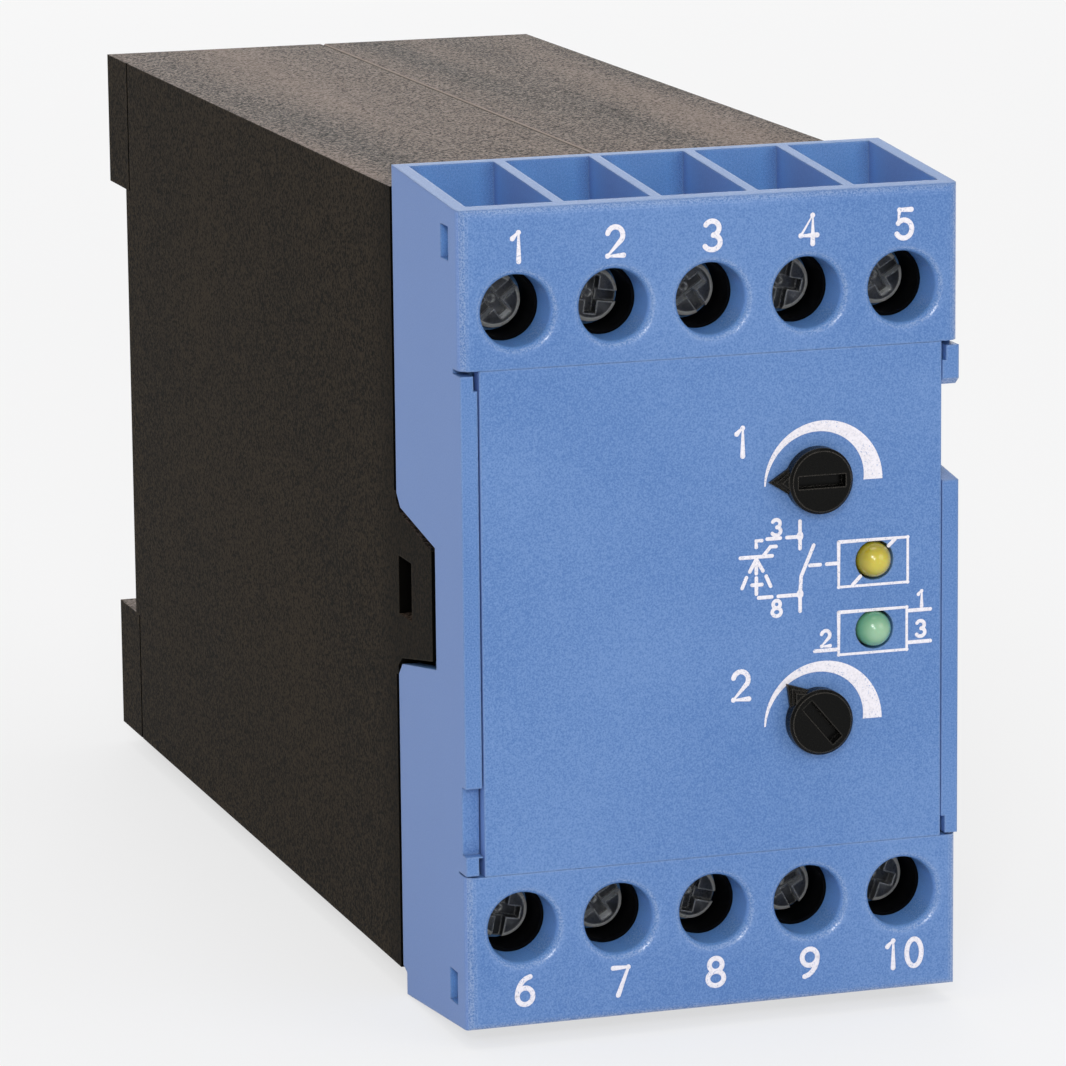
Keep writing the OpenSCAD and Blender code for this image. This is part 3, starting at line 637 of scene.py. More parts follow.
@dataclass(frozen=True)
class PrintInk(Finish):
    """White screen print with pinholes that let the blue show."""

    ink: Colour
    ground: Colour

    def surface(self, kit: ShaderKit) -> Wire:
        """Builds cloudy cover and scattered pinholes."""
        fine = kit.noise(0.12 * MM, 2.0, 0.6)
        cover = kit.noise(1.4 * MM, 2.0)
        thin = kit.noise(0.24 * MM, 3.0, 0.7)
        hole = kit.ramp(fine + (cover - MEAN) * 0.3, 0.62, 0.7)
        base = kit.blend(kit.ramp(thin, 0.4, 0.66), self.ink, tuple(c * 0.88 for c in self.ink))
        base = kit.blend(hole * 0.7, base, self.ground)
        rough = 0.5 + (fine - MEAN) * 0.25
        return kit.principled(Base_Color=base, Roughness=rough, Normal=kit.bump(fine, 0.012 * MM))


@dataclass(frozen=True)
class PaleFloor(Finish):
    """Pale paper floor that looks white but keeps the shadow."""

    tone: Colour
    glow: float = 0.66

    def surface(self, kit: ShaderKit) -> Wire:
        """Mixes matt paper with plain white for rays that show the background."""
        fibre = kit.noise(3 * MM, 3.0, 0.6)
        base = kit.blend(fibre, tuple(c * 0.985 for c in self.tone), self.tone)
        paper = kit.principled(Base_Color=base, Roughness=0.9)
        white = kit.node("ShaderNodeEmission", {}, {"Color": (*WHITE, 1.0), "Strength": 1.0})
        seen = kit.node("ShaderNodeLightPath", output="Is Camera Ray")
        outputs = seen.socket.node.outputs
        for ray in ("Is Glossy Ray", "Is Transmission Ray"):
            seen = seen + Wire(kit, outputs[ray])
        return kit.node("ShaderNodeMixShader", {}, {0: seen.held() * self.glow, 1: paper, 2: white})


# The lighter tops are partly dust, partly painted sheen.
HOUSING_BLACK = DustySheenPlastic(
    "housing_black", dark=srgb(6, 5, 3), light=srgb(59, 51, 41), worn_and_highlit=srgb(104, 94, 82),
    grain=0.26 * MM, depth=0.045 * MM, roughness=0.72, spread=0.3, wear_and_highlight=0.3, contrast=0.07,
    cloudy=0.1, gloss=0.05, tint=(1.0, 0.9, 0.82), shine=Shine.TOPS, glint=0.28,
    glint_roughness=0.42, dusty_sheen=0.68, dusty_sheen_tone=srgb(148, 126, 112), seam_highlight_tone=srgb(176, 160, 149),
    seam_top=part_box("housing_right")[1].z, joint=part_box("terminal_head")[1].y,
)
LATCH_BLACK = MouldedPlastic(
    "latch_black", dark=srgb(20, 17, 14), light=srgb(44, 39, 34), worn_and_highlit=srgb(104, 98, 90),
    grain=0.2 * MM, depth=0.02 * MM, roughness=0.5, wear_and_highlight=0.5, gloss=0.3,
)
# Its pocket and side tones are painted light; its lighter edges are partly a painted highlight.
HEAD_BLUE = PocketedPlastic(
    "head_blue", dark=srgb(81, 119, 177), light=srgb(114, 147, 198), worn_and_highlit=srgb(154, 180, 222),
    grain=0.15 * MM, depth=0.02 * MM, roughness=0.42, spread=0.18, edge=0.26 * MM, contrast=0.18,
    gloss=0.15, shine=Shine.RIMS, glint=1.0, glint_roughness=0.3, glint_index=2.2,
    pocket_bounce_tone=srgb(120, 186, 250), side_light_tone=srgb(126, 156, 220),
)
# Its lighter edges are partly a painted highlight.
DIAL_BLACK = MouldedPlastic(
    "dial_black", dark=srgb(1, 1, 1), light=srgb(7, 7, 5), worn_and_highlit=srgb(116, 111, 104),
    grain=0.16 * MM, depth=0.004 * MM, roughness=0.26, spread=0.16, edge=0.15 * MM, gloss=0.12,
)
# Black of the bore sleeves, which stand in for the shade deep in the bores: painted shade.
BORE_SHADE_BLACK = MouldedPlastic(
    "bore_shade_black", dark=srgb(2, 2, 3), light=srgb(6, 6, 8), worn_and_highlit=srgb(14, 14, 17),
    grain=0.2 * MM, depth=0.01 * MM, roughness=0.6, edge=0.05 * MM, gloss=0.05,
)
# Its bright edges and rims are painted glare.
SCREW_STEEL = PlatedMetal(
    "screw_steel", srgb(54, 56, 60), srgb(12, 13, 16), 0.3, edge=0.2 * MM, bright=0.95, rims=0.95,
    metal=0.25,
)
CLAMP_STEEL = PlatedMetal("clamp_steel", srgb(205, 206, 208), srgb(150, 152, 156), 0.36)
SPRING_STEEL = PlatedMetal("spring_steel", srgb(176, 176, 180), srgb(120, 120, 126), 0.3)
TINNED_COPPER = PlatedMetal("tinned_copper", srgb(216, 210, 196), srgb(176, 164, 144), 0.34)
SINK_METAL = PlatedMetal(
    "sink_metal", srgb(214, 216, 218), srgb(176, 178, 182), 0.38, along=(1.0, 1.0, 0.04),
)
SOLDER = PlatedMetal("solder", srgb(206, 206, 204), srgb(160, 160, 162), 0.28)
WHITE_INK = PrintInk("white_ink", ink=srgb(240, 236, 243), ground=srgb(120, 150, 204))
FLOOR_PAPER = PaleFloor("floor_paper", tone=srgb(240, 240, 241))


class GeoKit(TreeKit):
    """Geometry node tree with named inputs, run once into a plain mesh."""

    def __init__(self, name: str, numbers: Sequence[str], vectors: Sequence[str] = ()) -> None:
        """Makes the tree with its named inputs and one more for the material.

        Args:
            name: Name of the tree.
            numbers: Names of the inputs that are numbers.
            vectors: Names of the inputs that are vectors.
        """
        super().__init__(bpy.data.node_groups.new(name, "GeometryNodeTree"))
        face = self.tree.interface
        face.new_socket("Geometry", in_out="OUTPUT", socket_type="NodeSocketGeometry")
        face.new_socket("Geometry", in_out="INPUT", socket_type="NodeSocketGeometry")
        kinds = dict.fromkeys(numbers, "NodeSocketFloat")
        kinds |= dict.fromkeys(vectors, "NodeSocketVector")
        kinds["Material"] = "NodeSocketMaterial"
        self.identifiers: dict[str, str] = {}
        for key, kind in kinds.items():
            socket = face.new_socket(key, in_out="INPUT", socket_type=kind)
            self.identifiers[key] = socket.identifier
        self.entry = self.node("NodeGroupInput").socket.node

    def given(self, name: str) -> Wire:
        """Wire of a named input."""
        return Wire(self, self.entry.outputs[name])

    def vector(self, x: Number = 0.0, y: Number = 0.0, z: Number = 0.0) -> Wire:
        """Vector of three values."""
        return self.node("ShaderNodeCombineXYZ", {}, {0: x, 1: y, 2: z})

    def shape(self, kind: str, **inputs: Any) -> Wire:
        """Geometry node of a kind, with its sockets named in words joined by underlines."""
        named = {key.replace("_", " "): value for key, value in inputs.items()}
        return self.node("GeometryNode" + kind, {}, named)

    def moved(self, shape: Wire, **how: Any) -> Wire:
        """Shape after a translation, rotation or scale."""
        return self.shape("Transform", Geometry=shape, **how)

    def solid(self, operation: str, **meshes: Any) -> Wire:
        """Exact Boolean of meshes."""
        settings = {"operation": operation, "solver": "EXACT"}
        named = {key.replace("_", " "): value for key, value in meshes.items()}
        return self.node("GeometryNodeMeshBoolean", settings, named)

    def joined(self, *shapes: Wire) -> Wire:
        """All shapes in one."""
        return self.node("GeometryNodeJoinGeometry", {}, {0: list(shapes)})

    def on_points(self, shape: Wire) -> Wire:
        """One copy of a shape on each point that enters the tree."""
        return self.shape("InstanceOnPoints", Points=self.given("Geometry"), Instance=shape)

    def finish(self, shape: Wire) -> None:
        """Ends the tree with plain geometry and its material."""
        real = self.node("GeometryNodeRealizeInstances", {}, {0: shape})
        dressed = self.shape("SetMaterial", Geometry=real, Material=self.given("Material"))
        self.node("NodeGroupOutput", {}, {0: dressed})

    def run(self, name: str, seed: bpy.types.Mesh, values: dict[str, Any]) -> bpy.types.Object:
        """Runs the tree on a seed mesh and keeps the result as a plain mesh.

        Args:
            name: Name of the piece.
            seed: Mesh that enters the tree.
            values: Value of each named input.

        Returns:
            The finished object, at the origin.
        """
        piece = bpy.data.objects.new(name, seed)
        bpy.context.scene.collection.objects.link(piece)
        modifier = piece.modifiers.new("nodes", "NODES")
        modifier.node_group = self.tree
        for key, value in values.items():
            modifier[self.identifiers[key]] = value
        bpy.context.view_layer.update()
        evaluated = piece.evaluated_get(bpy.context.evaluated_depsgraph_get())
        made = bpy.data.meshes.new_from_object(evaluated)
        piece.modifiers.remove(modifier)
        piece.data = made
        made.name = name
        return piece


def seed_points(
    name: str, points: Iterable[Sequence[float]], edges: Iterable[tuple[int, int]] = ()
) -> bpy.types.Mesh:
    """Mesh of points and edges for a tree to work on.

    Args:
        name: Name of the mesh.
        points: Points in metres.
        edges: Pairs of point numbers.

    Returns:
        The mesh.
    """
    mesh = bpy.data.meshes.new(name)
    mesh.from_pydata([tuple(p) for p in points], list(edges), [])
    return mesh


def smooth(piece: bpy.types.Object, degrees: float = 32.0, merge: float = 1e-7) -> None:
    """Shades a piece smooth and keeps edges sharper than the angle.

    Args:
        piece: Object with a plain mesh.
        degrees: Angle from which an edge stays sharp.
        merge: Distance in metres under which points become one.
    """
    bm = bmesh.new()
    bm.from_mesh(piece.data)
    bmesh.ops.remove_doubles(bm, verts=bm.verts, dist=merge)
    bmesh.ops.recalc_face_normals(bm, faces=bm.faces)
    bm.to_mesh(piece.data)
    bm.free()
    piece.data.shade_smooth()
    piece.data.set_sharp_from_angle(angle=math.radians(degrees))


def carry(piece: bpy.types.Object, body: str) -> bpy.types.Object:
    """Lets a piece ride on a body and reports it.

    Args:
        piece: The finished piece.
        body: Body that it moves with.

    Returns:
        The same piece.
    """
    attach(piece, body)
    LOG.info("%s: %d faces on %s", piece.name, len(piece.data.polygons), body)
    return piece


def nodes(*names: str) -> list[bpy.types.Object]:
    """Objects of the frame by name."""
    return [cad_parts[name] for name in names]


@dataclass
class Housing:
    """Two black half shells with the rail latch and its spring."""

    shells: tuple[str, ...] = ("housing_left", "housing_right")

    def dress(self) -> None:
        """Puts the finishes on the shells, the latch and the spring."""
        HOUSING_BLACK.dress(*nodes(*self.shells))
        LATCH_BLACK.dress(*nodes("rail_latch"))
        SPRING_STEEL.dress(*nodes("latch_spring"))
        LOG.info("housing dressed")


@dataclass
class Terminals:
    """Blue head with its ten clamps: screws, cages, bars, and bore sleeves that stand in for shade.

    Its sizes are in millimetres and its angles in degrees.
    """

    poles: int = 5
    rows: tuple[str, ...] = ("u", "l")
    middle_pole: int = 3
    turn_middle: float = 35.0
    turn_step: float = 47.0
    turn_row: float = 20.0
    head_play: float = 0.01
    head_height: float = 1.8
    head_sides: int = 56
    chamfer: float = 0.35
    chamfer_sides: int = 64
    root: float = 1.5
    root_sides: int = 32
    crest: float = 1.74
    crest_sides: int = 4
    pitch: float = 0.6
    pitch_steps: int = 28
    slot_width: float = 0.95
    slot_depth: float = 0.9
    cross_length: float = 3.3
    cross_depth: float = 1.15
    cross_share: float = 1.1
    pit_top: float = 0.9
    pit_foot: float = 0.3
    pit_sink: float = 0.74
    pit_sides: int = 24
    sleeve_outer: float = 3.07
    sleeve_inner: float = 2.8
    sleeve_start: float = 4.1
    sleeve_lap: float = 0.05
    sleeve_sides: int = 48

    def marks(self) -> list[str]:
        """Row and pole of each terminal, as the frame names them."""
        return [f"{row}{pole}" for row in self.rows for pole in range(1, self.poles + 1)]

    def turn(self, mark: str) -> float:
        """Turn of a screw in its bore, as the frame has it."""
        across = self.turn_step * (int(mark[1]) - self.middle_pole)
        row = self.turn_row if mark[0] == "u" else -self.turn_row
        return math.radians(self.turn_middle + across + row)

    def head_shape(self, kit: GeoKit) -> Wire:
        """Bevelled head of a screw with its cross slot.

        Args:
            kit: Tree of the screw.

        Returns:
            The head, with its face at zero.
        """
        radius, height, bevel = map(kit.given, ("Head radius", "Head height", "Bevel"))
        width = kit.given("Slot width")
        block = kit.shape("MeshCylinder", Vertices=self.head_sides, Radius=radius, Depth=height)
        block = kit.moved(block, Translation=kit.vector(z=height * -0.5))
        taper = kit.shape(
            "MeshCone", Vertices=self.chamfer_sides, Radius_Top=radius - bevel * 1.5,
            Radius_Bottom=radius - bevel * 0.5 + height, Depth=height + bevel,
        )
        taper = kit.moved(taper, Translation=kit.vector(z=height * -1 - bevel * 0.5))
        head = kit.solid("INTERSECT", Mesh_2=[block, taper])
        slot = kit.vector(radius * 4, width, kit.given("Slot depth") * 2)
        arm_width, arm_length = width * self.cross_share, kit.given("Cross length")
        arm = kit.vector(arm_width, arm_length, kit.given("Cross depth") * 2)
        pit = kit.shape(
            "MeshCone", Vertices=self.pit_sides, Radius_Top=width * self.pit_top,
            Radius_Bottom=width * self.pit_foot, Depth=height,
        )
        pit = kit.moved(pit, Translation=kit.vector(z=height * -self.pit_sink))
        bars = [kit.shape("MeshCube", Size=size) for size in (slot, arm)]
        for cutter in (*bars, pit):
            head = kit.solid("DIFFERENCE", Mesh_1=head, Mesh_2=cutter)
        return head

    def shank_shapes(self, kit: GeoKit) -> tuple[Wire, Wire]:
        """Shank of a screw and its thread.

        Args:
            kit: Tree of the screw.

        Returns:
            The shank below the head, and the thread round it.
        """
        height, length, root = map(kit.given, ("Head height", "Length", "Root radius"))
        depth = length - height
        shank = kit.shape("MeshCylinder", Vertices=self.root_sides, Radius=root, Depth=depth)
        shank = kit.moved(shank, Translation=kit.vector(z=(length + height) * -0.5))
        crest = kit.given("Crest radius") - root
        run = depth - crest * 3
        coil = kit.shape(
            "CurveSpiral", Resolution=self.pitch_steps, Rotations=run / kit.given("Pitch"),
            Start_Radius=root, End_Radius=root, Height=run,
        )
        tooth = kit.shape("CurvePrimitiveCircle", Resolution=self.crest_sides, Radius=crest)
        thread = kit.shape("CurveToMesh", Curve=coil, Profile_Curve=tooth, Fill_Caps=True)
        return shank, kit.moved(thread, Translation=kit.vector(z=crest * 1.5 - length))

    def screw_tree(self) -> GeoKit:
        """Tree of one clamp screw with bevelled head, cross slot and thread.

        Returns:
            The tree, which draws in millimetres along Z and then turns, scales and places.
        """
        kit = GeoKit("clamp_screw", (
            "Head radius", "Head height", "Bevel", "Root radius", "Crest radius", "Length", "Pitch",
            "Slot width", "Slot depth", "Cross length", "Cross depth", "Turn", "Unit",
        ), ("Place",))
        whole = kit.joined(self.head_shape(kit), *self.shank_shapes(kit))
        turned = kit.moved(whole, Rotation=kit.vector(z=kit.given("Turn")))
        unit = kit.given("Unit")
        size = kit.vector(unit, unit, unit)
        upright = kit.moved(turned, Rotation=(QUARTER_TURN, 0.0, 0.0), Scale=size)
        kit.finish(kit.moved(upright, Translation=kit.given("Place")))
        return kit

    def build_screws(self) -> None:
        """Makes the ten screws, each in place of its plain solid."""
        kit = self.screw_tree()
        common = {
            "Head height": self.head_height, "Bevel": self.chamfer, "Root radius": self.root,
            "Crest radius": self.crest, "Pitch": self.pitch, "Slot width": self.slot_width,
            "Slot depth": self.slot_depth, "Cross length": self.cross_length,
            "Cross depth": self.cross_depth, "Unit": MM, "Material": SCREW_STEEL.material(),
        }
        for mark in self.marks():
            low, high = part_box(f"screw_{mark}")
            middle = (low + high) / 2
            piece = kit.run(f"clamp_screw_{mark}", seed_points("none", []), {
                **common, "Head radius": (high.x - low.x) / 2 / MM - self.head_play,
                "Length": (high.y - low.y) / MM, "Turn": -self.turn(mark),
                "Place": (middle.x, low.y, middle.z),
            })
            smooth(piece)
            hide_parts(f"screw_{mark}")
            carry(piece, f"screw_{mark}")

    def build_shade_sleeves(self) -> None:
        """Makes dark sleeves in the ten driver bores, which stand in for the shade deep inside
        them.
        """
        kit = GeoKit("bore_shade_sleeve", ("Outer radius", "Inner radius", "Length"))
        outer, inner = kit.given("Outer radius"), kit.given("Inner radius")
        middle = (outer + inner) * 0.5
        ring = kit.shape("CurvePrimitiveCircle", Resolution=self.sleeve_sides, Radius=middle)
        wall = {"Width": outer - inner, "Height": kit.given("Length")}
        section = kit.shape("CurvePrimitiveQuadrilateral", **wall)
        tube = kit.shape("CurveToMesh", Curve=ring, Profile_Curve=section)
        kit.finish(kit.on_points(kit.moved(tube, Rotation=(QUARTER_TURN, 0.0, 0.0))))
        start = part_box("terminal_head")[0].y + self.sleeve_start * MM
        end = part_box("screw_u1")[0].y + (self.head_height - self.sleeve_lap) * MM
        boxes = [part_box(f"screw_{mark}") for mark in self.marks()]
        middles = [(low + high) / 2 for low, high in boxes]
        places = [(middle.x, (start + end) / 2, middle.z) for middle in middles]
        piece = kit.run("bore_shade_sleeves", seed_points("bores", places), {
            "Outer radius": self.sleeve_outer * MM, "Inner radius": self.sleeve_inner * MM,
            "Length": end - start, "Material": BORE_SHADE_BLACK.material(),
        })
        smooth(piece)
        carry(piece, "housing")

    def dress(self) -> None:
        """Puts the finishes on the head, the cages and the bars."""
        HEAD_BLUE.dress(*nodes("terminal_head"))
        CLAMP_STEEL.dress(*nodes(*(f"cage_{mark}" for mark in self.marks())))
        TINNED_COPPER.dress(*nodes("bars_upper", "bars_lower"))
        LOG.info("terminal head dressed")


class Strokes:
    """Line drawings in millimetres on the front face, as lists of open lines."""

    @staticmethod
    def arc(x: float, z: float, wide: float, high: float, start: float, end: float) -> list[Point]:
        """Points of an arc.

        Args:
            x: Middle to the right.
            z: Middle upwards.
            wide: Radius to the side.
            high: Radius upwards.
            start: First angle in degrees.
            end: Last angle in degrees.

        Returns:
            The points in order.
        """
        count = max(4, int(abs(end - start) / 15))
        angles = [math.radians(start + (end - start) * i / count) for i in range(count + 1)]
        return [(x + wide * math.cos(a), z + high * math.sin(a)) for a in angles]

    @classmethod
    def digit(cls, sign: str) -> list[list[Point]]:
        """Lines of one figure in a cell 0.6 wide and 1 high."""
        arc = cls.arc
        figures = {
            "0": [arc(0.3, 0.5, 0.28, 0.5, 90, 450)],
            "1": [[(0.14, 0.8), (0.36, 1.0), (0.36, 0.0)]],
            "2": [arc(0.3, 0.71, 0.28, 0.29, 165, -35) + [(0.02, 0.0), (0.6, 0.0)]],
            "3": [arc(0.28, 0.75, 0.26, 0.25, 150, -80) + arc(0.28, 0.26, 0.3, 0.26, 80, -150)],
            "4": [[(0.44, 0.0), (0.44, 1.0), (0.0, 0.3), (0.6, 0.3)]],
            "5": [[(0.56, 1.0), (0.12, 1.0), (0.07, 0.53)] + arc(0.28, 0.32, 0.3, 0.32, 125, -150)],
            "6": [arc(0.3, 0.3, 0.29, 0.3, 180, 540), arc(0.56, 0.3, 0.55, 0.7, 180, 97)],
            "7": [[(0.02, 1.0), (0.58, 1.0), (0.2, 0.0)]],
            "8": [arc(0.3, 0.76, 0.24, 0.24, 90, 450), arc(0.3, 0.26, 0.3, 0.26, 90, 450)],
            "9": [arc(0.3, 0.7, 0.29, 0.3, 0, 360), arc(0.04, 0.7, 0.55, 0.7, 0, -83)],
        }
        return figures[sign]

    @classmethod
    def number(cls, text: str, x: float, z: float, height: float) -> list[list[Point]]:
        """Lines of a whole number, centred on a point.

        Args:
            text: The figures.
            x: Middle to the right.
            z: Middle upwards.
            height: Height of the figures.

        Returns:
            The lines.
        """
        step = 0.86 * height
        left = x - step * (len(text) - 1) / 2 - 0.3 * height
        return [
            [(left + i * step + px * height, z - height / 2 + pz * height) for px, pz in line]
            for i, sign in enumerate(text)
            for line in cls.digit(sign)
        ]


@dataclass
class FrontPrint:
    """White print of the front: terminal numbers, dial scales, lamp frames and circuit sign."""

    label_z: float = 32.3
    label_height: float = 2.45
    small_height: float = 1.36
    bold: float = 0.46
    thin: float = 0.34
    ink_height: float = 0.05
    ink_sides: int = 12
    dial_numbers: tuple[tuple[str, float, float], ...] = (("1", 2.5, 14.3), ("2", 2.4, -7.0))
    sign_numbers: tuple[tuple[str, float, float], ...] = (
        ("3", 5.7, 6.65), ("8", 5.7, -0.45), ("1", 19.0, -0.6), ("3", 19.0, -3.25),
        ("2", 10.2, -3.45),
    )
    sign_knots: tuple[Point, ...] = ((7.85, 5.75), (7.85, 0.65))
    knot_size: Point = (0.14, 0.24)
    scale_centres: tuple[Point, ...] = ((10.0, 10.3), (9.95, -10.83))
    scale_outer: float = 5.42
    scale_ends: tuple[float, float] = (0.14, 1.75)
    scale_steps: int = 60
    scale_raised: float = 0.025
    scale_sunk: float = 0.02

    def bold_lines(self) -> list[list[Point]]:
        """Numbers of the terminals and of the dials."""
        lines: list[list[Point]] = []
        for row, first, side in (("u", 1, 1), ("l", 6, -1)):
            for pole in range(5):
                low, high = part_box(f"cage_{row}{pole + 1}")
                x = (low.x + high.x) / 2 / MM
                text = str(first + pole)
                lines += Strokes.number(text, x, side * self.label_z, self.label_height)
        for text, x, z in self.dial_numbers:
            lines += Strokes.number(text, x, z, self.label_height)
        return lines

    def thin_lines(self) -> list[list[Point]]:
        """Frames of the lamps and the sign of the switched line."""
        lines = [
            [(11.4, 4.95), (17.78, 4.95), (17.78, 0.98), (11.4, 0.98), (11.4, 4.95)],
            [(12.7, 1.1), (13.4, 1.8)], [(16.0, 4.3), (16.6, 4.85)],
            [(11.4, -1.25), (17.7, -1.25), (17.7, -5.0), (11.4, -5.0), (11.4, -1.25)],
            [(17.8, -1.58), (19.9, -1.58)], [(17.8, -4.4), (19.9, -4.4)],
            [(9.2, -4.5), (11.3, -4.5)],
            [(10.3, 3.1), (11.3, 3.1)], [(8.75, 3.1), (9.7, 3.1)],
            [(9.1, 4.85), (7.95, 2.2), (7.85, 0.7)], [(7.85, 0.7), (7.85, -0.85)],
            [(7.85, 7.05), (7.85, 4.65)],
            [(7.65, 5.7), (6.65, 5.7)], [(6.05, 5.7), (4.85, 5.7)],
            [(4.35, 5.6), (3.85, 5.6), (3.85, 5.05)],
            [(2.4, 4.2), (5.3, 4.2)], [(4.45, 4.2), (5.15, 5.0), (5.65, 5.0)],
            [(3.85, 4.2), (3.85, 2.75)], [(3.85, 4.0), (3.25, 2.95)], [(3.85, 4.0), (4.45, 2.95)],
            [(2.95, 2.45), (2.55, 1.55)], [(4.75, 2.45), (5.15, 1.55)],
            [(3.45, 1.75), (4.35, 1.75)],
            [(3.85, 2.35), (3.85, 0.95)],
            [(4.05, 0.6), (5.25, 0.6)], [(5.85, 0.6), (7.65, 0.6)],
        ]
        for x, z in self.sign_knots:
            lines.append(Strokes.arc(x, z, *self.knot_size, 0, 360))
        for text, x, z in self.sign_numbers:
            lines += Strokes.number(text, x, z, self.small_height)
        return lines

    def line_tree(self) -> GeoKit:
        """Tree that lays flat lines of ink with round ends along edges."""
        kit = GeoKit("ink_lines", ("Width", "Ink height", "Face"))
        width = kit.given("Width")
        radius = width * 0.5
        curve = kit.shape("MeshToCurve", Mesh=kit.given("Geometry"))
        section = kit.shape("CurvePrimitiveCircle", Resolution=self.ink_sides, Radius=radius)
        lines = kit.shape("CurveToMesh", Curve=curve, Profile_Curve=section, Fill_Caps=True)
        ball = kit.shape(
            "MeshUVSphere", Segments=self.ink_sides, Rings=self.ink_sides // 2, Radius=radius
        )
        raised = kit.shape("RealizeInstances", Geometry=kit.joined(lines, kit.on_points(ball)))
        flat = kit.moved(raised, Scale=kit.vector(1.0, kit.given("Ink height") / width, 1.0))
        kit.finish(kit.moved(flat, Translation=kit.vector(y=kit.given("Face"))))
        return kit

    def build_lines(self) -> None:
        """Makes the numbers and the thin lines."""
        kit = self.line_tree()
        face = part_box("front_panel")[0].y
        for name, lines, width in (
            ("print_numbers", self.bold_lines(), self.bold),
            ("print_lines", self.thin_lines(), self.thin),
        ):
            points: list[Triple] = []
            edges: list[tuple[int, int]] = []
            for line in lines:
                first = len(points)
                points += [(x * MM, 0.0, z * MM) for x, z in line]
                edges += [(first + i, first + i + 1) for i in range(len(line) - 1)]
            piece = kit.run(name, seed_points(name, points, edges), {
                "Width": width * MM, "Ink height": self.ink_height * MM, "Face": face,
                "Material": WHITE_INK.material(),
            })
            piece.data.shade_smooth()
            carry(piece, "housing")

    def build_scales(self) -> None:
        """Makes the two wedge-shaped dial scales."""
        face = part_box("front_panel")[0].y
        bm = bmesh.new()
        thin, thick = self.scale_ends
        front, rear = face - self.scale_raised * MM, face + self.scale_sunk * MM
        for x, z in self.scale_centres:
            rings = []
            for i in range(self.scale_steps + 1):
                share = i / self.scale_steps
                angle = math.pi * (1 - share)
                outer = self.scale_outer
                inner = outer - thin - (thick - thin) * share
                across, upwards = math.cos(angle), math.sin(angle)
                rings.append([
                    bm.verts.new(((x + r * across) * MM, y, (z + r * upwards) * MM))
                    for r, y in ((outer, rear), (outer, front), (inner, front), (inner, rear))
                ])
            for a, b in zip(rings, rings[1:]):
                for k in range(4):
                    bm.faces.new((a[k], a[(k + 1) % 4], b[(k + 1) % 4], b[k]))
            bm.faces.new(rings[0])
            bm.faces.new(rings[-1][::-1])
        bmesh.ops.recalc_face_normals(bm, faces=bm.faces)
        mesh = bpy.data.meshes.new("print_scales")
        bm.to_mesh(mesh)
        bm.free()
        piece = bpy.data.objects.new("print_scales", mesh)
        bpy.context.scene.collection.objects.link(piece)
        WHITE_INK.dress(piece)
        carry(piece, "housing")


@dataclass
class FrontPanel:
    """Blue panel with its two dials, two lamps and print."""

    lens_share: float = 0.4
    lenses: dict[str, tuple[Colour, Colour]] = field(default_factory=lambda: {
        "lamp_yellow": (srgb(198, 184, 60), srgb(158, 143, 30)),
        "lamp_green": (srgb(144, 186, 152), srgb(92, 154, 116)),
    })

    def dress(self) -> None:
        """Puts the finishes on panel, dials and lamps."""
        HEAD_BLUE.dress(*nodes("front_panel"))
        DIAL_BLACK.dress(*nodes("knob_upper", "knob_lower"))
        for name, (core, rim) in self.lenses.items():
            low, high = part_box(name)
            middle = (low + high) / 2
            radius = (high.x - low.x) * self.lens_share
            LampLens(name + "_lens", core, rim, tuple(middle), radius).dress(*nodes(name))
        LOG.info("front panel dressed")

    def build(self) -> None:
        """Makes the print."""
        print_work = FrontPrint()
        print_work.build_lines()
        print_work.build_scales()


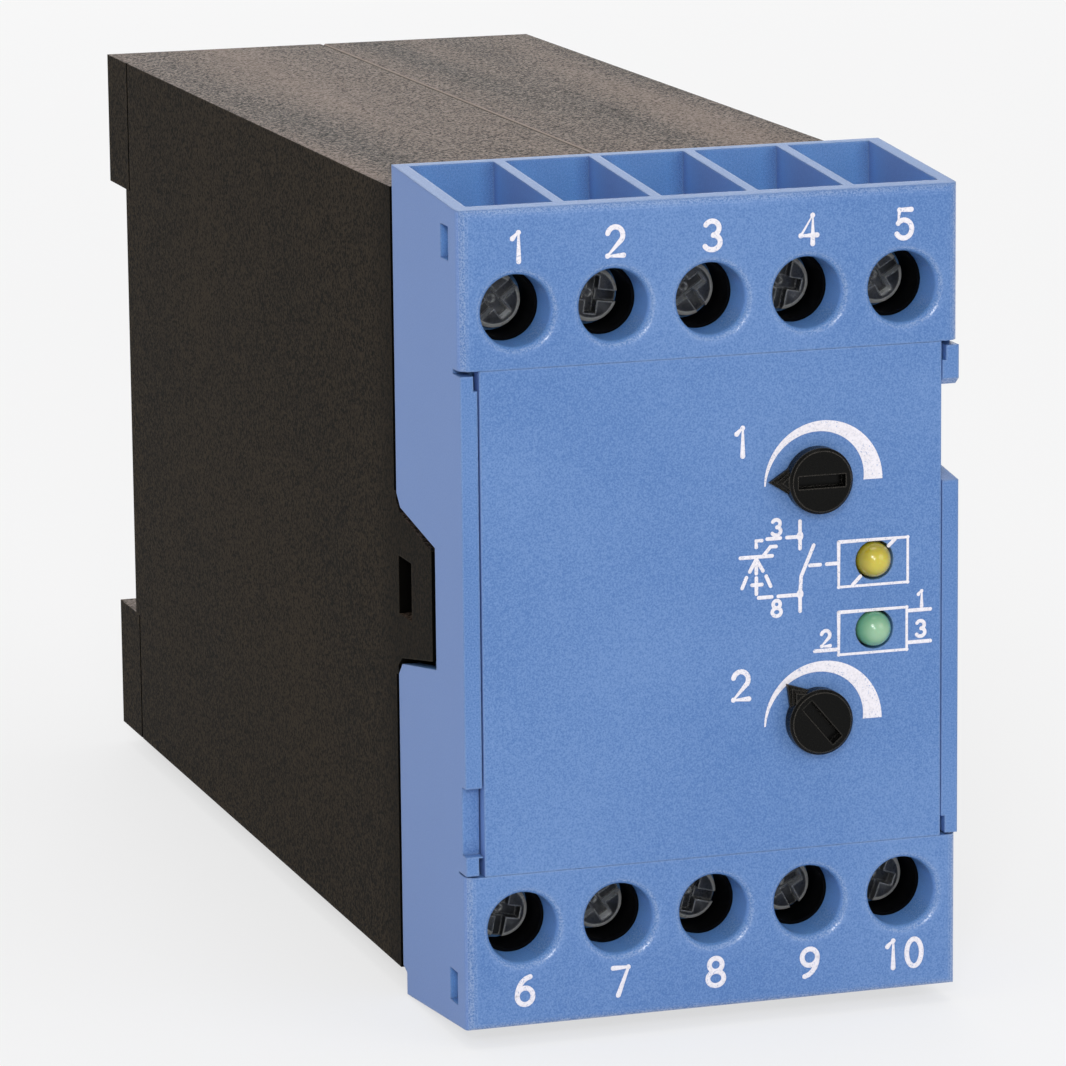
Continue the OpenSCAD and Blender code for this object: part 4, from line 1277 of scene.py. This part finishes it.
@dataclass
class Electronics:
    """Boards and parts inside, with solder joints on the front board."""

    joint_radius: float = 1.05 * MM
    joint_height: float = 0.75 * MM
    joint_tip: float = 0.35
    joint_inset: float = 0.5 * MM
    joint_sides: int = 16
    joint_rings: int = 3
    pin_start: float = 0.05 * MM
    coat_run: float = 2.0 * MM
    chip_legs: float = 1.0 * MM
    pot_legs: float = 0.2 * MM
    leg_length: float = 5.6 * MM

    def finishes(self) -> list[tuple[Finish, tuple[str, ...]]]:
        """Finish of each part inside, with the nodes that wear it."""
        low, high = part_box("control_chip")
        chip = (low.x + self.chip_legs, high.x - self.chip_legs)
        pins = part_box("power_board")[1].x + self.pin_start
        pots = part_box("front_board")[0].y - self.pot_legs
        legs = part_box("thyristor_a")[0].y + self.leg_length
        below = Zone.BELOW
        return [
            (SolderMask("front_lacquer", 0, 2), ("front_board",)),
            (SolderMask("power_lacquer", 1, 2), ("power_board",)),
            (LeadedPart("chip_black", srgb(24, 24, 26), srgb(44, 44, 47), 0, Zone.OUTSIDE, *chip),
             ("control_chip",)),
            (LeadedPart("header_black", srgb(22, 22, 24), srgb(38, 38, 41), 0, below, pins),
             ("board_header",)),
            (LeadedPart("relay_shell", srgb(206, 206, 198), srgb(226, 226, 220), 0, below, pins,
                        roughness=0.32), ("relay_a", "relay_b")),
            (LeadedPart("capacitor_box", srgb(196, 150, 40), srgb(218, 174, 62), 0, below, pins,
                        roughness=0.3), ("line_capacitor",)),
            (LeadedPart("varistor_coat", srgb(36, 66, 150), srgb(52, 88, 178), 0, below,
                        pins + self.coat_run, roughness=0.24), ("varistors",)),
            (LeadedPart("coil_potting", srgb(40, 40, 44), srgb(62, 62, 66), 0, below, pins),
             ("supply_coil",)),
            (LeadedPart("pot_blue", srgb(46, 74, 138), srgb(64, 96, 164), 1, Zone.ABOVE, pots,
                        roughness=0.34), ("pot_upper", "pot_lower")),
            (LeadedPart("thyristor_black", srgb(28, 28, 30), srgb(50, 50, 53), 1, below, legs),
             ("thyristor_a", "thyristor_b")),
            (SINK_METAL, ("heat_sink",)),
            (SCREW_STEEL, ("sink_screws",)),
        ]

    def dress(self) -> None:
        """Puts the finishes on all parts inside."""
        for finish, names in self.finishes():
            finish.dress(*nodes(*names))
        LOG.info("parts inside dressed")

    def build_joints(self) -> None:
        """Makes the solder joints of the bars on the front board."""
        kit = GeoKit("solder_joints", ("Radius", "Height"))
        radius = kit.given("Radius")
        dome = kit.shape(
            "MeshCone", Vertices=self.joint_sides, Side_Segments=self.joint_rings,
            Radius_Top=radius * self.joint_tip, Radius_Bottom=radius, Depth=kit.given("Height"),
        )
        kit.finish(kit.on_points(kit.moved(dome, Rotation=(-QUARTER_TURN, 0.0, 0.0))))
        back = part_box("front_board")[1].y
        levels = (
            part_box("bars_upper")[0].z + self.joint_inset,
            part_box("bars_lower")[1].z - self.joint_inset,
        )
        boxes = [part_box(f"cage_u{pole}") for pole in range(1, 6)]
        places = [((low.x + high.x) / 2, back, z) for z in levels for low, high in boxes]
        piece = kit.run("solder_joints", seed_points("joints", places), {
            "Radius": self.joint_radius, "Height": self.joint_height, "Material": SOLDER.material(),
        })
        smooth(piece, 50.0)
        carry(piece, "housing")


@dataclass
class Stage:
    """Floor, soft light and the camera at the photograph's angle."""

    eye: Triple = (-0.16869, -0.58839, 0.10965)
    right: Triple = (0.951276, -0.308169, -0.010321)
    up: Triple = (0.071403, 0.187599, 0.979647)
    focal_pixels: float = 6003.9
    picture: float = 1066.0
    sensor: float = 36.0
    near: float = 0.01
    far: float = 20.0
    floor_reach: float = 4.0
    floor_drop: float = 0.2 * MM
    ambient: float = 0.52
    aim: Triple = (0.0, -0.055, 0.0)
    lamps: tuple[tuple[str, Triple, float, float], ...] = (
        ("key_box", (-0.72, -1.75, 0.88), 0.36, 10.5),
        ("front_box", (-0.36, -1.9, 0.42), 0.2, 4.5),
        ("fill_box", (0.95, -1.35, 0.5), 0.9, 3.5),
        ("top_box", (0.0, -0.1, 1.4), 0.7, 3.0),
        ("rear_box", (0.35, 1.5, 0.5), 0.8, 5.0),
    )

    def build_floor(self) -> None:
        """Lays the floor under the part."""
        mesh = bpy.data.meshes.new("floor")
        bm = bmesh.new()
        bmesh.ops.create_grid(bm, x_segments=4, y_segments=4, size=self.floor_reach)
        level = CAD_BOX[0].z - self.floor_drop
        bmesh.ops.translate(bm, verts=bm.verts, vec=(0.0, 0.0, level))
        bm.to_mesh(mesh)
        bm.free()
        floor = bpy.data.objects.new("floor", mesh)
        bpy.context.scene.collection.objects.link(floor)
        FLOOR_PAPER.dress(floor)

    def build_light(self) -> None:
        """Sets the pale surroundings and the soft boxes."""
        world = bpy.data.worlds.new("surroundings")
        world.use_nodes = True
        kit = TreeKit(world.node_tree)
        inputs = {"Color": (*WHITE, 1.0), "Strength": self.ambient}
        glow = kit.node("ShaderNodeBackground", {}, inputs)
        kit.node("ShaderNodeOutputWorld", {}, {"Surface": glow})
        bpy.context.scene.world = world
        for name, place, size, power in self.lamps:
            light = bpy.data.lights.new(name, "AREA")
            light.shape = "SQUARE"
            light.size = size
            light.energy = power
            lamp = bpy.data.objects.new(name, light)
            lamp.location = place
            beam = Vector(self.aim) - Vector(place)
            lamp.rotation_euler = beam.to_track_quat("-Z", "Y").to_euler()
            bpy.context.scene.collection.objects.link(lamp)

    def build_camera(self) -> None:
        """Sets the camera from the picture's own perspective."""
        data = bpy.data.cameras.new("camera")
        data.sensor_fit = "HORIZONTAL"
        data.sensor_width = self.sensor
        data.lens = self.focal_pixels * self.sensor / self.picture
        data.clip_start = self.near
        data.clip_end = self.far
        camera = bpy.data.objects.new("camera", data)
        right, up = Vector(self.right), Vector(self.up)
        turn = Matrix((right, up, right.cross(up))).transposed()
        camera.matrix_world = Matrix.Translation(self.eye) @ turn.to_4x4()
        bpy.context.scene.collection.objects.link(camera)
        bpy.context.scene.camera = camera

    def build(self) -> None:
        """Builds the whole stage."""
        self.build_floor()
        self.build_light()
        self.build_camera()
        bpy.context.scene.view_settings.view_transform = "Standard"
        LOG.info("stage ready")


def main() -> None:
    """Builds and dresses every sub-assembly, then the stage."""
    logging.basicConfig(level=logging.INFO, format="%(name)s: %(message)s")
    Housing().dress()
    terminals = Terminals()
    terminals.dress()
    terminals.build_screws()
    terminals.build_shade_sleeves()
    panel = FrontPanel()
    panel.dress()
    panel.build()
    inside = Electronics()
    inside.dress()
    inside.build_joints()
    Stage().build()


if __name__ == "__main__":
    main()
